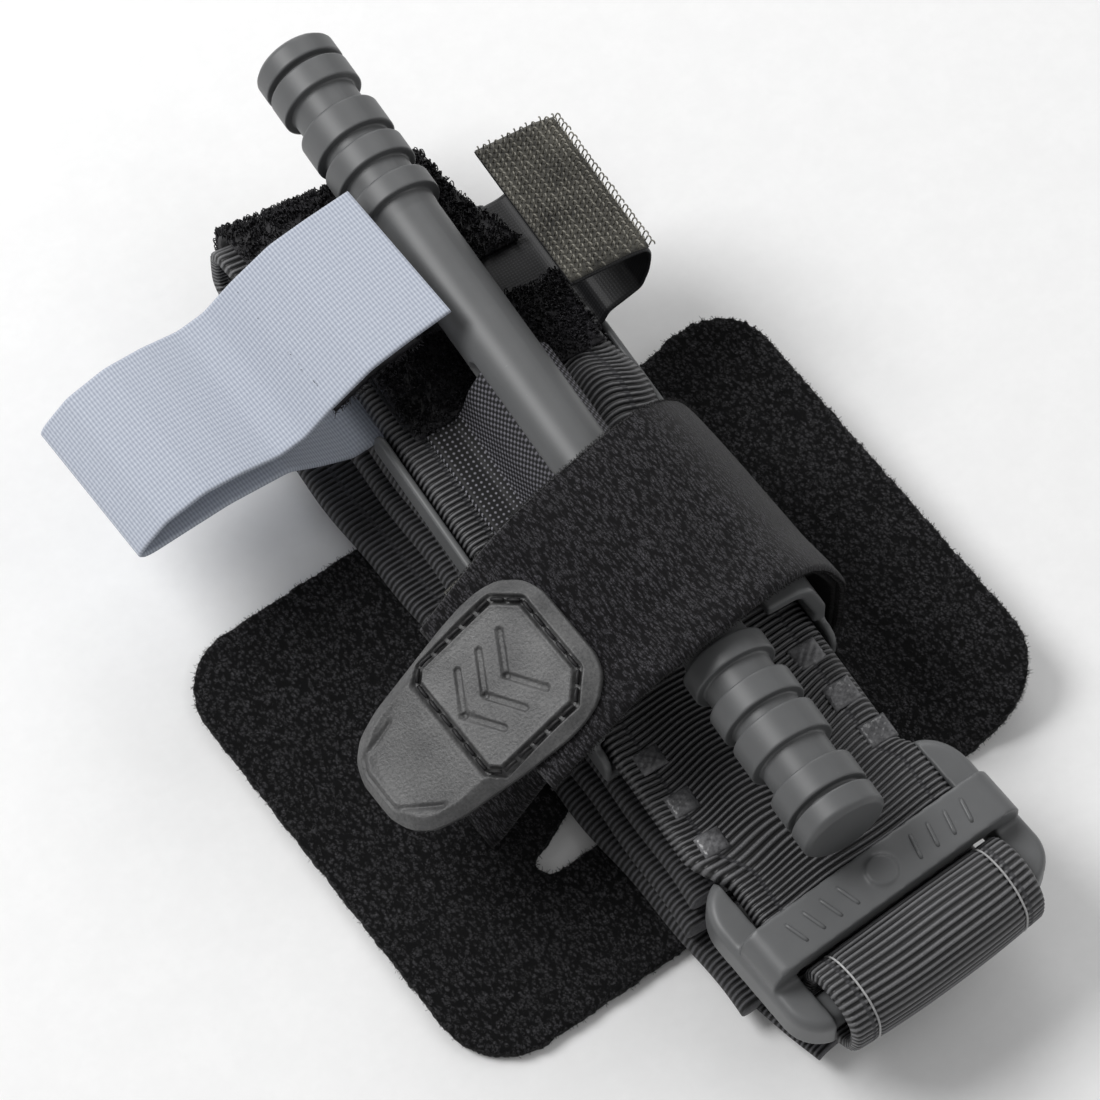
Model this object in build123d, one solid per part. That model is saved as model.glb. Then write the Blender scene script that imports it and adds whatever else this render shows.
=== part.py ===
from build123d import *
import os

# A windlass tourniquet, folded flat and held in a hook-and-loop carrier.
# Millimetres.  +Z is up from the surface that the carrier lies on, +Y runs along the windlass
# rod away from the buckle, and +X is towards the side where the carrier's strap is sewn on.
# The origin is the middle of the carrier panel's back face.

# ---------------------------------------------------------------- webbing and layers
BAND_WIDTH = 37.0            # the main band, a flattened sleeve of ribbed webbing
SLEEVE = 3.8                 # thickness of one flattened sleeve, inner band and all
LAYER_GAP = 0.1              # air left between layers that lie flat on each other
SOFT_GAP = 0.3               # air between curved soft parts
MOVING_GAP = 0.5             # air round a part that moves
CUT_MARGIN = 1.0             # how far a cutter runs past what it cuts

# ---------------------------------------------------------------- carrier
CARRIER_YAW = 4.4            # turn of the carrier against the rod, in degrees
PANEL_WIDTH = 104.5
PANEL_DEPTH = 81.6
PANEL_T = 2.0
PANEL_CORNER_R = 11.0
WING_CREASE_X = 37.0         # where the right wing starts to rise
WING_RISE = 8.0              # rise of its outer edge
WING_BEND_R = 12.0
SLIT_WIDTH = 4.0             # relief slits beside the roots of the tongue and the strap
LEFT_SLIT_X = (-26.5, -6.0)
LEFT_SLIT_Y = -18.1
LEFT_WEDGE = ((-24.5, -20.1), (-8.0, -20.1), (-8.0, -8.9), (-24.5, -16.3))    # pulled open
RIGHT_SLIT_X = (10.0, 27.5)
RIGHT_SLIT_Y = 30.5

TONGUE_T = 1.4
TONGUE_DEPTH = 31.0
TONGUE_MID_Y = 0.5
TONGUE_HINGE_X = -29.0       # crease where it leaves the panel
TONGUE_ELBOW = (-18.8, 15.0)
TONGUE_KNEE_X = -16.8        # where it turns to lie under the strap's free end
TONGUE_END_X = -12.4
TONGUE_BEND_R = 4.0

STRAP_T = 1.2                # face ply of the strap
LINING_T = 0.9               # its lining ply
STRAP_DEPTH = 34.5
LINING_INSET = 1.0           # the lining stops short of the face ply on each side
STRAP_MID_Y = 0.5
STRAP_FLANK_GAP = 2.0        # between the plate's rail and the strap's upright flank
STRAP_CREASE_GAP = 0.9       # between the panel and the fold that the strap opens at
STRAP_REACH = 17.0           # how far the strap's end hangs past the pull tab's sewn end
STRAP_FALL = 0.53            # fall of its free end for each millimetre
STRAP_DIP = 1.2              # how far it drops from the rod to the pull tab
STRAP_FLANK_RISE = 1.5       # height of the upright flank over the top run
STRAP_LEAN = 4.6             # how far it leans in by the height of the rod's axis
STRAP_CROWN = 7.0            # flat stretch past the rod on each side
STRAP_BENDS = (9.0, 6.0, 8.0, 20.0, 20.0)
HOOK_PATCH_T = 0.9
HOOK_PATCH_START = 4.0       # from the pull tab's sewn end
HOOK_PATCH_LENGTH = 8.0

TAB_RIGHT_X = -8.6           # plan position of the end that is sewn to the strap
TAB_MID_Y = -3.3
TAB_LENGTH = 38.0
TAB_WIDTH = 26.0
TAB_T = 3.2
TAB_SHAPE = ((0.0, 0.54), (0.13, 0.96), (0.34, 1.0), (0.84, 0.80), (1.0, 0.36))
TAB_CORNER_R = 2.5
TAB_EDGE_R = 1.2
GROOVE_WIDTH = 1.3
GROOVE_DEPTH = 0.8
GROOVE_START = 2.9           # from the sewn end
GROOVE_LENGTH = 19.6
GROOVE_SPAN = 20.6
GROOVE_CHAMFER = 3.6
SCOOP_START = 25.4           # finger grip, from the sewn end
SCOOP_LENGTH = 10.8
SCOOP_SPAN = 14.5
SCOOP_DEPTH = 0.5
SCOOP_CORNER_R = 2.7
STITCH_PITCH = 2.9
STITCH_LENGTH = 2.1
SHORT_STITCH = 0.7           # share of a short side that its one stitch covers
STITCH_D = 0.6

# ---------------------------------------------------------------- folded band
TOURNIQUET_X = 7.7           # the rod's axis
BAND_X = 7.6                 # middle of the top run
LOW_FOLD_X = 0.9             # middle of the lowest fold, in the carrier's turned frame
MID_FOLD_X = 4.0
HIGH_FOLD_X = 6.0
LOW_FOLD_Y = (-55.0, 78.0)
MID_FOLD_Y = (-43.0, 78.5)
HIGH_FOLD_Y = (-41.0, 75.5)
SELVEDGE_R = 1.6             # the rounded edge of a flattened sleeve
FAR_TURN_Y = 79.5            # where the top run turns down and back
TURN_T = 2.0                 # thickness of the sleeve in the turn
TOP_RUN_JOIN = 15.5          # where it turns with the buckle, from the buckle's middle
TOP_RUN_LAP = 4.9            # how far the turned end runs on under the straight run
TOP_RUN_SHORT = 0.7          # how far it stops short of the raised bar's near side
TAIL_T = 1.6                 # single ply that hangs out under the buckle
TAIL_LENGTH = 12.5
TAIL_WIDTH = 30.0
TAIL_X = 0.0
BULGE_X = (18.0, 25.6)       # pucker of the top run beside the inner band
BULGE_Y = (24.5, 41.2)
BULGE_RISE = 3.2
BULGE_EDGE_R = 1.9

# ---------------------------------------------------------------- base plate and windlass clip
PLATE_T = 1.6
PLATE_Y = (6.6, 46.6)
RAIL_T = 1.2
RAIL_HEIGHT = 3.6            # above the plate's top
RAIL_CLEARANCE = 0.35        # between the band's edge and a rail
RAIL_END_R = 2.5
WINDOW_WIDTH = 24.0          # opening for the inner band
WINDOW_LENGTH = 22.0
CLIP_Y = (-18.5, 6.0)
HORN_Y = (-15.0, 4.0)
HORN_T = 2.2
HORN_MOUTH = 18.4            # opening between the tips of the two horns
HORN_HEADROOM = 0.5          # room over a rod that lies in a horn
HORN_LEAN = 3.2              # how far a horn leans in before it turns over the rod

# ---------------------------------------------------------------- windlass
ROD_MID_Y = 26.7
ROD_Z = 31.0
ROD_LENGTH = 152.0
ROD_R = 5.25
NECK_R = 5.45
RING_R = 6.75
END_CHAMFER = 0.8
END_RINGS = ((0.0, 3.9), (4.9, 9.2), (13.8, 18.9), (20.9, 25.0), (28.4, 32.0))
ROD_SLOT_HEIGHT = 3.2
ROD_SLOT_PLAY = 3.5          # how much longer the slot is than the inner band is wide

INNER_BAND_T = 1.6
INNER_BAND_WIDTH = 29.0
INNER_LEG = 2.6              # from the rod's side to each leg
INNER_FOOT_LEFT = 4.4        # how far each leg spreads on the top run
INNER_FOOT_RIGHT = 1.0
INNER_BEND_R = 1.6
INNER_FOOT_BEND_R = 0.9

# ---------------------------------------------------------------- hook-and-loop tapes
TAPE_T = 0.8
TAPE_WIDTH = 27.5
TAPE_Y = 57.3                # middle of the base tape and of the hook tab
TAPE_LEFT_X = -8.5
TAPE_LIFT_X = (26.2, 28.4)   # where its right end leaves the band and starts the loop
TAPE_BENDS = (1.2, 1.5, 2.6)
LOOP_T = 1.5
LOOP_X = (-8.2, 25.2)
NEAR_LOOP_Y = (41.6, 55.4)
FAR_LOOP_Y = 63.4            # near edge of the far patch
FAR_LOOP_DROP = 0.6          # how far it hangs down past the far turn's crest

TIME_STRAP_T = 0.9
TIME_STRAP_WIDTH = 26.0
TIME_STRAP_Y = 60.9          # middle of the strap where it crosses X = 0
TIME_LOWER = (
    (-4.0, 14.6), (-12.2, 14.6), (-18.4, 18.6),
    (-23.5, 22.6), (-34.0, 24.0), (-50.0, 23.6),
)
TIME_UPPER = (
    (-50.6, 25.2), (-46.0, 28.8), (-39.0, 30.4), (-26.0, 28.0),
    (-17.5, 32.0), (-9.5, 36.2), (3.0, 37.2),
)
TIME_BEND_R = 4.0
TIME_PATCH_T = 1.2
TIME_PATCH_FLAT = 6.0        # length of the patch beyond the flap's last knee
TIME_PATCH_SLOPED = 5.0      # and before it
TIME_PATCH_END = -1.6        # clear of the rod
TIME_PATCH_INSET = 1.2

HOOK_TAB_T = 0.9
HOOK_FIELD_T = 1.1
HOOK_TAB_RIGHT_X = 34.6
HOOK_TAB_LEFT_X = 20.6
HOOK_TAB_TOP = 35.2
HOOK_TAB_SLOPE = 0.09        # rise of its flap towards the rod
HOOK_LOOP_Z = (23.4, 24.6)   # the loop's lower run, from the band outwards
HOOK_BEND_R = 3.4
HOOK_HINGE_Z = 29.5
HOOK_HINGE_GAP = HOOK_TAB_T / 2 + SOFT_GAP

# ---------------------------------------------------------------- buckle
BUCKLE_YAW = 5.5
BUCKLE_X = 10.5
BUCKLE_Y = -55.0
BUCKLE_Z = 16.6              # mid-height of the arms
BUCKLE_WIDTH = 46.0
BUCKLE_LENGTH = 26.0
BUCKLE_T = 6.0
ARM_WIDTH = 4.9
BUCKLE_CORNER_R = 6.0
BUCKLE_EDGE_R = 1.5
FAR_BAR_D = 3.6
FAR_BAR_T = 1.3
NEAR_BAR_D = 5.0
NEAR_BAR_T = 4.4
NEAR_BAR_R = 1.5
NEAR_BAR_SET_IN = 1.0        # of the near bar behind the ends of the arms
BRIDGE_Y = (-3.6, 4.2)       # the raised bar, from the buckle's middle
BRIDGE_T = 3.4
BRIDGE_GAP = 1.4             # air between the top run and the raised bar
BRIDGE_INSET = 0.5
BOSS_R = 2.3
BOSS_H = 0.5

ROLL_WIDTH = 35.0
ROLL_T = 2.0
ROLL_PROUD = 2.8             # how far it stands out past the buckle's near end
ROLL_RISE = 5.8              # of the roll's crest over the near bar's middle
ROLL_BEND_R = 4.6
ROLL_LEG_Y = 4.5             # end of the leg that runs back under the buckle

# ---------------------------------------------------------------- levels of the flat stack
LOW_Z = PANEL_T + LAYER_GAP
MID_Z = LOW_Z + SLEEVE + LAYER_GAP
HIGH_Z = MID_Z + SLEEVE + LAYER_GAP
PLATE_Z = HIGH_Z + SLEEVE + LAYER_GAP
TOP_RUN_Z = PLATE_Z + PLATE_T + LAYER_GAP
TOP_Z = TOP_RUN_Z + SLEEVE
TAPE_Z = TOP_Z + LAYER_GAP
LOOP_Z = TAPE_Z + TAPE_T + LAYER_GAP
RAIL_INNER = BAND_WIDTH / 2 + RAIL_CLEARANCE
RAIL_OUTER = RAIL_INNER + RAIL_T
STRAP_STACK = STRAP_T + LINING_T + LAYER_GAP


# ---------------------------------------------------------------- helpers
def place(shape, x, y, yaw, z=0.0):
    """Turn a shape about its own upright axis and move it to its place."""
    return Pos(x, y, z) * Rot(0, 0, yaw) * shape


def tape(plane, points, radii, thickness, low, high):
    """A tape that follows a line in an upright plane, from low to high along its normal."""
    line = FilletPolyline(*points, radius=radii)
    section = plane * trace(line, line_width=thickness)
    body = extrude(section, amount=(high - low) / 2, both=True)
    middle = (low + high) / 2
    side = Pos(0, middle, 0) if plane == Plane.XZ else Pos(middle, 0, 0)
    return side * body


def tape_across(points, radii, thickness, y_low, y_high):
    """A tape whose line runs across the tourniquet, in the XZ plane."""
    return tape(Plane.XZ, points, radii, thickness, y_low, y_high)


def tape_along(points, radii, thickness, x_low, x_high):
    """A tape whose line runs along the tourniquet, in the YZ plane."""
    return tape(Plane.YZ, points, radii, thickness, x_low, x_high)


def block(x, y, z):
    """A box from three (low, high) pairs."""
    sizes = [high - low for low, high in (x, y, z)]
    middle = [(low + high) / 2 for low, high in (x, y, z)]
    return Pos(*middle) * Box(*sizes)


def sleeve(mid_x, y, z_low, width=BAND_WIDTH, thickness=SLEEVE):
    """A flat length of band with rounded selvedges, its underside at z_low."""
    body = block((mid_x - width / 2, mid_x + width / 2), y, (z_low, z_low + thickness))
    return fillet(body.edges().filter_by(Axis.Y), min(SELVEDGE_R, thickness * 0.45))


def shift_line(points, distance):
    """A line moved sideways, to the right of its direction, with its corners mitred."""
    spots = [Vector(x, y) for x, y in points]
    ways = [(b - a).normalized() for a, b in zip(spots, spots[1:])]
    rights = [Vector(way.Y, -way.X) for way in ways]
    moved = []
    for spot, one, other in zip(spots, [rights[0]] + rights, rights + [rights[-1]]):
        mitre = (one + other) * (distance / (1 + one.dot(other)))
        moved.append(((spot + mitre).X, (spot + mitre).Y))
    return moved


def slit(x_range, y):
    """The cutter of one round-ended slit through the panel."""
    length = x_range[1] - x_range[0]
    cutter = extrude(SlotOverall(length, SLIT_WIDTH), amount=PANEL_T * 2, both=True)
    return Pos(sum(x_range) / 2, y, 0) * cutter


# ---------------------------------------------------------------- carrier
def carrier_panel():
    """Loop-faced panel: flat under the band, with its right wing bent up."""
    half = PANEL_WIDTH / 2
    mid_z = PANEL_T / 2
    run = half - WING_CREASE_X
    line = [
        (-half - CUT_MARGIN, mid_z),
        (WING_CREASE_X, mid_z),
        (half + run, mid_z + 2 * WING_RISE),
    ]
    sheet = tape_across(line, WING_BEND_R, PANEL_T, -PANEL_DEPTH / 2, PANEL_DEPTH / 2)
    outline = RectangleRounded(PANEL_WIDTH, PANEL_DEPTH, PANEL_CORNER_R)
    sheet &= extrude(outline, amount=WING_RISE * 3, both=True)
    sheet -= slit(LEFT_SLIT_X, LEFT_SLIT_Y)
    wedge = make_face(Polyline(*LEFT_WEDGE, close=True))
    sheet -= extrude(wedge, amount=PANEL_T * 2, both=True)
    sheet -= slit(RIGHT_SLIT_X, RIGHT_SLIT_Y)
    return place(sheet, 0, 0, CARRIER_YAW)


def carrier_tongue():
    """Inner tongue: rises from the left wing and lies under the strap's free end."""
    start, _ = strap_tail()
    under = HOOK_PATCH_T + 3 * LAYER_GAP + TONGUE_T / 2
    sloping = under * (1 + STRAP_FALL ** 2) ** 0.5
    knee_z = start[1] - (start[0] - TONGUE_KNEE_X) * STRAP_FALL - sloping
    end_z = start[1] - (start[0] - TONGUE_END_X) * STRAP_FALL - sloping
    points = [
        (TONGUE_HINGE_X, PANEL_T + LAYER_GAP + TONGUE_T / 2),
        TONGUE_ELBOW,
        (TONGUE_KNEE_X, knee_z),
        (TONGUE_END_X, end_z),
    ]
    half = TONGUE_DEPTH / 2
    body = tape_across(points, TONGUE_BEND_R, TONGUE_T, TONGUE_MID_Y - half, TONGUE_MID_Y + half)
    return place(body, 0, 0, CARRIER_YAW)


def strap_level():
    """Height of the strap's inner face over the rod."""
    return ROD_Z + ROD_R + MOVING_GAP


def strap_tail():
    """The straight free end of the strap: its start and end in the XZ plane, inner face."""
    start = (TAB_RIGHT_X, strap_level() - STRAP_DIP)
    end = (start[0] - STRAP_REACH, start[1] - STRAP_REACH * STRAP_FALL)
    return start, end


def strap_line():
    """The strap's inner face, from its crease on the panel over the rod to its free end."""
    flank = BAND_X + RAIL_OUTER + STRAP_FLANK_GAP
    crease_z = PANEL_T + STRAP_CREASE_GAP + SOFT_GAP
    start, end = strap_tail()
    return [
        (flank, crease_z),
        (flank, TOP_Z + STRAP_FLANK_RISE),
        (flank - STRAP_LEAN, ROD_Z),
        (TOURNIQUET_X + ROD_R + STRAP_CROWN, strap_level()),
        (start[0] + STRAP_CROWN, strap_level()),
        start,
        end,
    ]


def strap_ply(depth, thickness, half):
    """One ply of the strap, its middle at its own depth outwards from the inner face."""
    radii = [radius + depth for radius in STRAP_BENDS]
    line = shift_line(strap_line(), depth)
    body = tape_across(line, radii, thickness, STRAP_MID_Y - half, STRAP_MID_Y + half)
    return place(body, 0, 0, CARRIER_YAW)


def carrier_strap_lining():
    """Inner ply of the strap that comes from the right and closes over the rod."""
    return strap_ply(LINING_T / 2, LINING_T, STRAP_DEPTH / 2 - LINING_INSET)


def carrier_strap():
    """Face ply of the strap, brushed loop outwards."""
    return strap_ply(LINING_T + LAYER_GAP + STRAP_T / 2, STRAP_T, STRAP_DEPTH / 2)


def on_strap_tail(shape, distance, depth):
    """Move a flat shape, drawn with its length along +X, on to the strap's sloping end."""
    start, end = strap_tail()
    slope = Vector(end[0] - start[0], 0, end[1] - start[1]).normalized()
    normal = Vector(slope.Z, 0, -slope.X)
    spot = Vector(start[0], 0, start[1]) + slope * distance + normal * depth
    return Plane(origin=spot, x_dir=slope, z_dir=normal) * shape


def strap_hook_patch():
    """Hook tape sewn under the strap's end, which grips the tongue."""
    half = STRAP_DEPTH / 2 - 3 * LINING_INSET
    patch = block((0, HOOK_PATCH_LENGTH), (-half, half), (-HOOK_PATCH_T, 0))
    patch = Pos(0, -STRAP_MID_Y, 0) * patch
    return place(on_strap_tail(patch, HOOK_PATCH_START, -LAYER_GAP), 0, 0, CARRIER_YAW)


def tab_outline():
    """Outline of the pull tab, from its sewn end at the origin to its tip along +X."""
    side = [(TAB_LENGTH * along, TAB_WIDTH / 2 * out) for along, out in TAB_SHAPE]
    points = side + [(x, -y) for x, y in reversed(side)]
    face = make_face(Polyline(*points, close=True))
    return fillet(face.vertices(), TAB_CORNER_R)


def groove_corners():
    """Corners of the octagon that the tab is sewn on along."""
    half = GROOVE_SPAN / 2
    near = GROOVE_START
    far = near + GROOVE_LENGTH
    cut = GROOVE_CHAMFER
    return [
        (near + cut, half), (far - cut / 2, half), (far, half - cut / 2), (far, cut / 2 - half),
        (far - cut / 2, -half), (near + cut, -half), (near, cut - half), (near, half - cut),
    ]


def scoop():
    """Cutter of the shallow finger grip near the tab's tip."""
    outline = RectangleRounded(SCOOP_LENGTH, SCOOP_SPAN, SCOOP_CORNER_R)
    grip = extrude(outline, amount=SCOOP_DEPTH * 2)
    return Pos(SCOOP_START + SCOOP_LENGTH / 2, 0, TAB_T - SCOOP_DEPTH) * grip


def pull_tab():
    """Moulded rubber tab, sewn to the strap's end along an eight-sided groove."""
    body = extrude(tab_outline(), amount=TAB_T)
    body = fillet(body.edges().group_by(Axis.Z)[-1], TAB_EDGE_R)
    line = make_face(Polyline(*groove_corners(), close=True))
    ring = offset(line, amount=GROOVE_WIDTH / 2) - offset(line, amount=-GROOVE_WIDTH / 2)
    body -= Pos(0, 0, TAB_T - GROOVE_DEPTH) * extrude(ring, amount=GROOVE_DEPTH * 2)
    body -= scoop()
    placed = on_strap_tail(Pos(0, -TAB_MID_Y, 0) * body, 0.0, STRAP_STACK + LAYER_GAP)
    return place(placed, 0, 0, CARRIER_YAW)


def pull_tab_thread():
    """Sewing thread in the tab's groove: one solid for each stitch."""
    corners = groove_corners()
    level = TAB_T - GROOVE_DEPTH + STITCH_D / 2 + LAYER_GAP
    stitches = []
    for a, b in zip(corners, corners[1:] + corners[:1]):
        span = Vector(b[0] - a[0], b[1] - a[1], 0)
        count = max(1, int(span.length / STITCH_PITCH))
        angle = Vector(1, 0, 0).get_signed_angle(span, Vector(0, 0, 1))
        length = min(STITCH_LENGTH, span.length * SHORT_STITCH)
        for i in range(count):
            spot = Vector(a[0], a[1], level) + span * ((i + 0.5) / count)
            stitches.append(Pos(*spot) * Rot(0, 0, angle) * Box(length, STITCH_D, STITCH_D))
    group = Pos(0, -TAB_MID_Y, 0) * Compound(children=stitches)
    placed = on_strap_tail(group, 0.0, STRAP_STACK + LAYER_GAP)
    return place(placed, 0, 0, CARRIER_YAW)


# ---------------------------------------------------------------- folded band
def band_low_fold():
    """Lowest run of the folded band, lying on the panel."""
    return place(sleeve(LOW_FOLD_X, LOW_FOLD_Y, LOW_Z), 0, 0, CARRIER_YAW)


def band_mid_fold():
    """Second run of the folded band."""
    return sleeve(MID_FOLD_X, MID_FOLD_Y, MID_Z)


def band_high_fold():
    """Third run of the folded band, under the base plate."""
    return sleeve(HIGH_FOLD_X, HIGH_FOLD_Y, HIGH_Z)


def band_tail():
    """Loose single ply of the band that shows under the buckle."""
    y_high = LOW_FOLD_Y[0] - LAYER_GAP
    ply = sleeve(TAIL_X, (y_high - TAIL_LENGTH, y_high), LOW_Z, TAIL_WIDTH, TAIL_T)
    return place(ply, 0, 0, CARRIER_YAW)


def band_far_turn():
    """Where the top run rolls over at the far end and goes back under the stack."""
    upper = TOP_Z - TURN_T / 2
    lower = MID_Z + TURN_T / 2
    reach = (upper - lower) / 2
    points = [
        (FAR_TURN_Y, upper), (FAR_TURN_Y + reach, upper),
        (FAR_TURN_Y + reach, lower), (FAR_TURN_Y, lower),
    ]
    half = BAND_WIDTH / 2
    return tape_along(points, reach - LAYER_GAP, TURN_T, BAND_X - half, BAND_X + half)


def band_top_run():
    """Top run of the band, from the buckle over the plate to the far turn."""
    run = sleeve(BAND_X, (BUCKLE_Y + TOP_RUN_JOIN, FAR_TURN_Y - LAYER_GAP), TOP_RUN_Z)
    end_y = (BRIDGE_Y[0] + TOP_RUN_SHORT, TOP_RUN_JOIN + TOP_RUN_LAP)
    end = sleeve(0, end_y, TOP_RUN_Z, ROLL_WIDTH)
    run += place(end, BUCKLE_X, BUCKLE_Y, BUCKLE_YAW)
    pucker = block(BULGE_X, BULGE_Y, (TOP_Z - SELVEDGE_R, TOP_Z + BULGE_RISE))
    pucker = fillet(pucker.edges().group_by(Axis.Z)[-1], BULGE_EDGE_R)
    return run + pucker


# ---------------------------------------------------------------- plate and clip
def tray(y):
    """A plate with a low rail along each side, to carry the band between them."""
    top = PLATE_Z + PLATE_T + RAIL_HEIGHT
    slab = block((BAND_X - RAIL_OUTER, BAND_X + RAIL_OUTER), y, (PLATE_Z, top))
    slab = fillet(slab.edges().filter_by(Axis.X).group_by(Axis.Z)[-1], RAIL_END_R)
    channel = block(
        (BAND_X - RAIL_INNER, BAND_X + RAIL_INNER),
        (y[0] - CUT_MARGIN, y[1] + CUT_MARGIN),
        (PLATE_Z + PLATE_T, PLATE_Z + PLATE_T + 2 * RAIL_HEIGHT),
    )
    return slab - channel


def base_plate():
    """Stiffener under the windlass, with a window for the inner band."""
    window = block(
        (TOURNIQUET_X - WINDOW_WIDTH / 2, TOURNIQUET_X + WINDOW_WIDTH / 2),
        (ROD_MID_Y - WINDOW_LENGTH / 2, ROD_MID_Y + WINDOW_LENGTH / 2),
        (0, TOP_Z),
    )
    return tray(PLATE_Y) - window


def horn(side):
    """One horn of the clip: up from the rail, over towards the rod."""
    wall = RAIL_OUTER - HORN_T / 2
    crown = TOP_Z + 2 * ROD_R + HORN_HEADROOM + HORN_T / 2
    tip = TOURNIQUET_X - BAND_X + HORN_MOUTH / 2
    points = [
        (wall, PLATE_Z + PLATE_T),
        (wall, TOP_Z + HORN_LEAN),
        (wall - HORN_LEAN, crown),
        (tip, crown),
    ]
    body = tape_across(points, [HORN_LEAN, HORN_LEAN], HORN_T, *HORN_Y)
    body = body if side > 0 else mirror(body, about=Plane.YZ)
    return Pos(BAND_X, 0, 0) * body


def windlass_clip():
    """Clip that the rod is turned into: a tray with two inward horns."""
    channel = block(
        (BAND_X - RAIL_INNER, BAND_X + RAIL_INNER),
        (CLIP_Y[0] - CUT_MARGIN, CLIP_Y[1] + CUT_MARGIN),
        (PLATE_Z + PLATE_T, TOP_Z + LAYER_GAP),
    )
    return (tray(CLIP_Y) + horn(1) + horn(-1)) - channel


# ---------------------------------------------------------------- windlass
def rod_profile():
    """Half section of the rod as (radius, distance) points, from one end to the middle."""
    points = [(0.0, 0.0), (RING_R - END_CHAMFER, 0.0), (RING_R, END_CHAMFER)]
    for start, end in END_RINGS:
        if start > 0:
            points += [(NECK_R, start), (RING_R, start)]
        points += [(RING_R, end), (NECK_R, end)]
    points += [(ROD_R, END_RINGS[-1][1]), (ROD_R, ROD_LENGTH / 2), (0.0, ROD_LENGTH / 2)]
    return points


def windlass_rod():
    """Ribbed rod with a slot through its middle for the inner band."""
    half = revolve(make_face(Polyline(*rod_profile(), close=True)), axis=Axis.Y)
    rod = half + mirror(half, about=Plane.XZ.offset(-ROD_LENGTH / 2))
    length = INNER_BAND_WIDTH + ROD_SLOT_PLAY
    cutter = extrude(Plane.YZ * SlotOverall(length, ROD_SLOT_HEIGHT), amount=2 * RING_R, both=True)
    rod = Pos(0, -ROD_LENGTH / 2, 0) * rod
    return Pos(TOURNIQUET_X, ROD_MID_Y, ROD_Z) * (rod - cutter)


def inner_band():
    """Inner band: up on one side, through the rod's slot and down on the other side."""
    foot_z = TOP_Z + LAYER_GAP + INNER_BAND_T / 2
    leg = ROD_R + INNER_LEG
    points = [
        (-leg - INNER_FOOT_LEFT, foot_z),
        (-leg, foot_z),
        (-leg, ROD_Z),
        (leg, ROD_Z),
        (leg, foot_z),
        (leg + INNER_FOOT_RIGHT, foot_z),
    ]
    radii = [INNER_BEND_R, INNER_BEND_R, INNER_BEND_R, INNER_FOOT_BEND_R]
    half = INNER_BAND_WIDTH / 2
    body = tape_across(points, radii, INNER_BAND_T, ROD_MID_Y - half, ROD_MID_Y + half)
    return Pos(TOURNIQUET_X, 0, 0) * body


# ---------------------------------------------------------------- hook-and-loop tapes
def loop_patch_near():
    """Coarse loop tape on the top run, next to the windlass."""
    return block(LOOP_X, NEAR_LOOP_Y, (LOOP_Z, LOOP_Z + LOOP_T))


def loop_patch_far():
    """Coarse loop tape that runs on over the far turn."""
    level = LOOP_Z + LOOP_T / 2
    bend = (TOP_Z - MID_Z) / 2 + SOFT_GAP + LOOP_T / 2
    far = FAR_TURN_Y + bend
    points = [(FAR_LOOP_Y, level), (far, level), (far, level - bend - FAR_LOOP_DROP)]
    return tape_along(points, bend, LOOP_T, *LOOP_X)


def tape_y():
    """Near and far edge of the base tape and the hook tab."""
    return TAPE_Y - TAPE_WIDTH / 2, TAPE_Y + TAPE_WIDTH / 2


def base_tape():
    """Smooth tape across the top run, which turns up on the right as the hook tab's loop."""
    level = TAPE_Z + TAPE_T / 2
    points = [
        (TAPE_LEFT_X, level),
        (TAPE_LIFT_X[0], level),
        (TAPE_LIFT_X[1], HOOK_LOOP_Z[0]),
        (HOOK_TAB_RIGHT_X, HOOK_LOOP_Z[1]),
        (HOOK_TAB_RIGHT_X, HOOK_HINGE_Z - HOOK_HINGE_GAP),
    ]
    return tape_across(points, TAPE_BENDS, TAPE_T, *tape_y())


def hook_tab_line(lift):
    """Line of the hook tab's flap, raised by lift."""
    rise = (HOOK_TAB_RIGHT_X - HOOK_TAB_LEFT_X) * HOOK_TAB_SLOPE
    return (HOOK_TAB_RIGHT_X, HOOK_TAB_TOP + lift), (HOOK_TAB_LEFT_X, HOOK_TAB_TOP + rise + lift)


def hook_tab():
    """Flap of the tab that folds back over its own loop."""
    corner, end = hook_tab_line(0.0)
    points = [(HOOK_TAB_RIGHT_X, HOOK_HINGE_Z + HOOK_HINGE_GAP), corner, end]
    return tape_across(points, HOOK_BEND_R, HOOK_TAB_T, *tape_y())


def hook_tab_hooks():
    """Field of moulded hooks on the flap's upper face."""
    lift = HOOK_TAB_T / 2 + LAYER_GAP + HOOK_FIELD_T / 2
    corner, end = [Vector(*point) for point in hook_tab_line(lift)]
    start = corner + (end - corner).normalized() * (HOOK_BEND_R + SOFT_GAP)
    low, high = tape_y()
    field = trace(Line((start.X, start.Y), (end.X, end.Y)), line_width=HOOK_FIELD_T)
    body = extrude(Plane.XZ * field, amount=(high - low) / 2, both=True)
    return Pos(0, (low + high) / 2, 0) * body


def time_strap_part(points, thickness, inset=0.0):
    """A length of the time strap in its own turned frame."""
    half = TIME_STRAP_WIDTH / 2 - inset
    body = tape_across(points, TIME_BEND_R, thickness, -half, half)
    return place(body, 0, TIME_STRAP_Y, CARRIER_YAW)


def time_strap():
    """Lower layer of the time strap, from under the top run out to its fold."""
    return time_strap_part(TIME_LOWER, TIME_STRAP_T)


def time_strap_flap():
    """Upper layer of the time strap, folded back towards the rod."""
    return time_strap_part(TIME_UPPER, TIME_STRAP_T)


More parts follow.
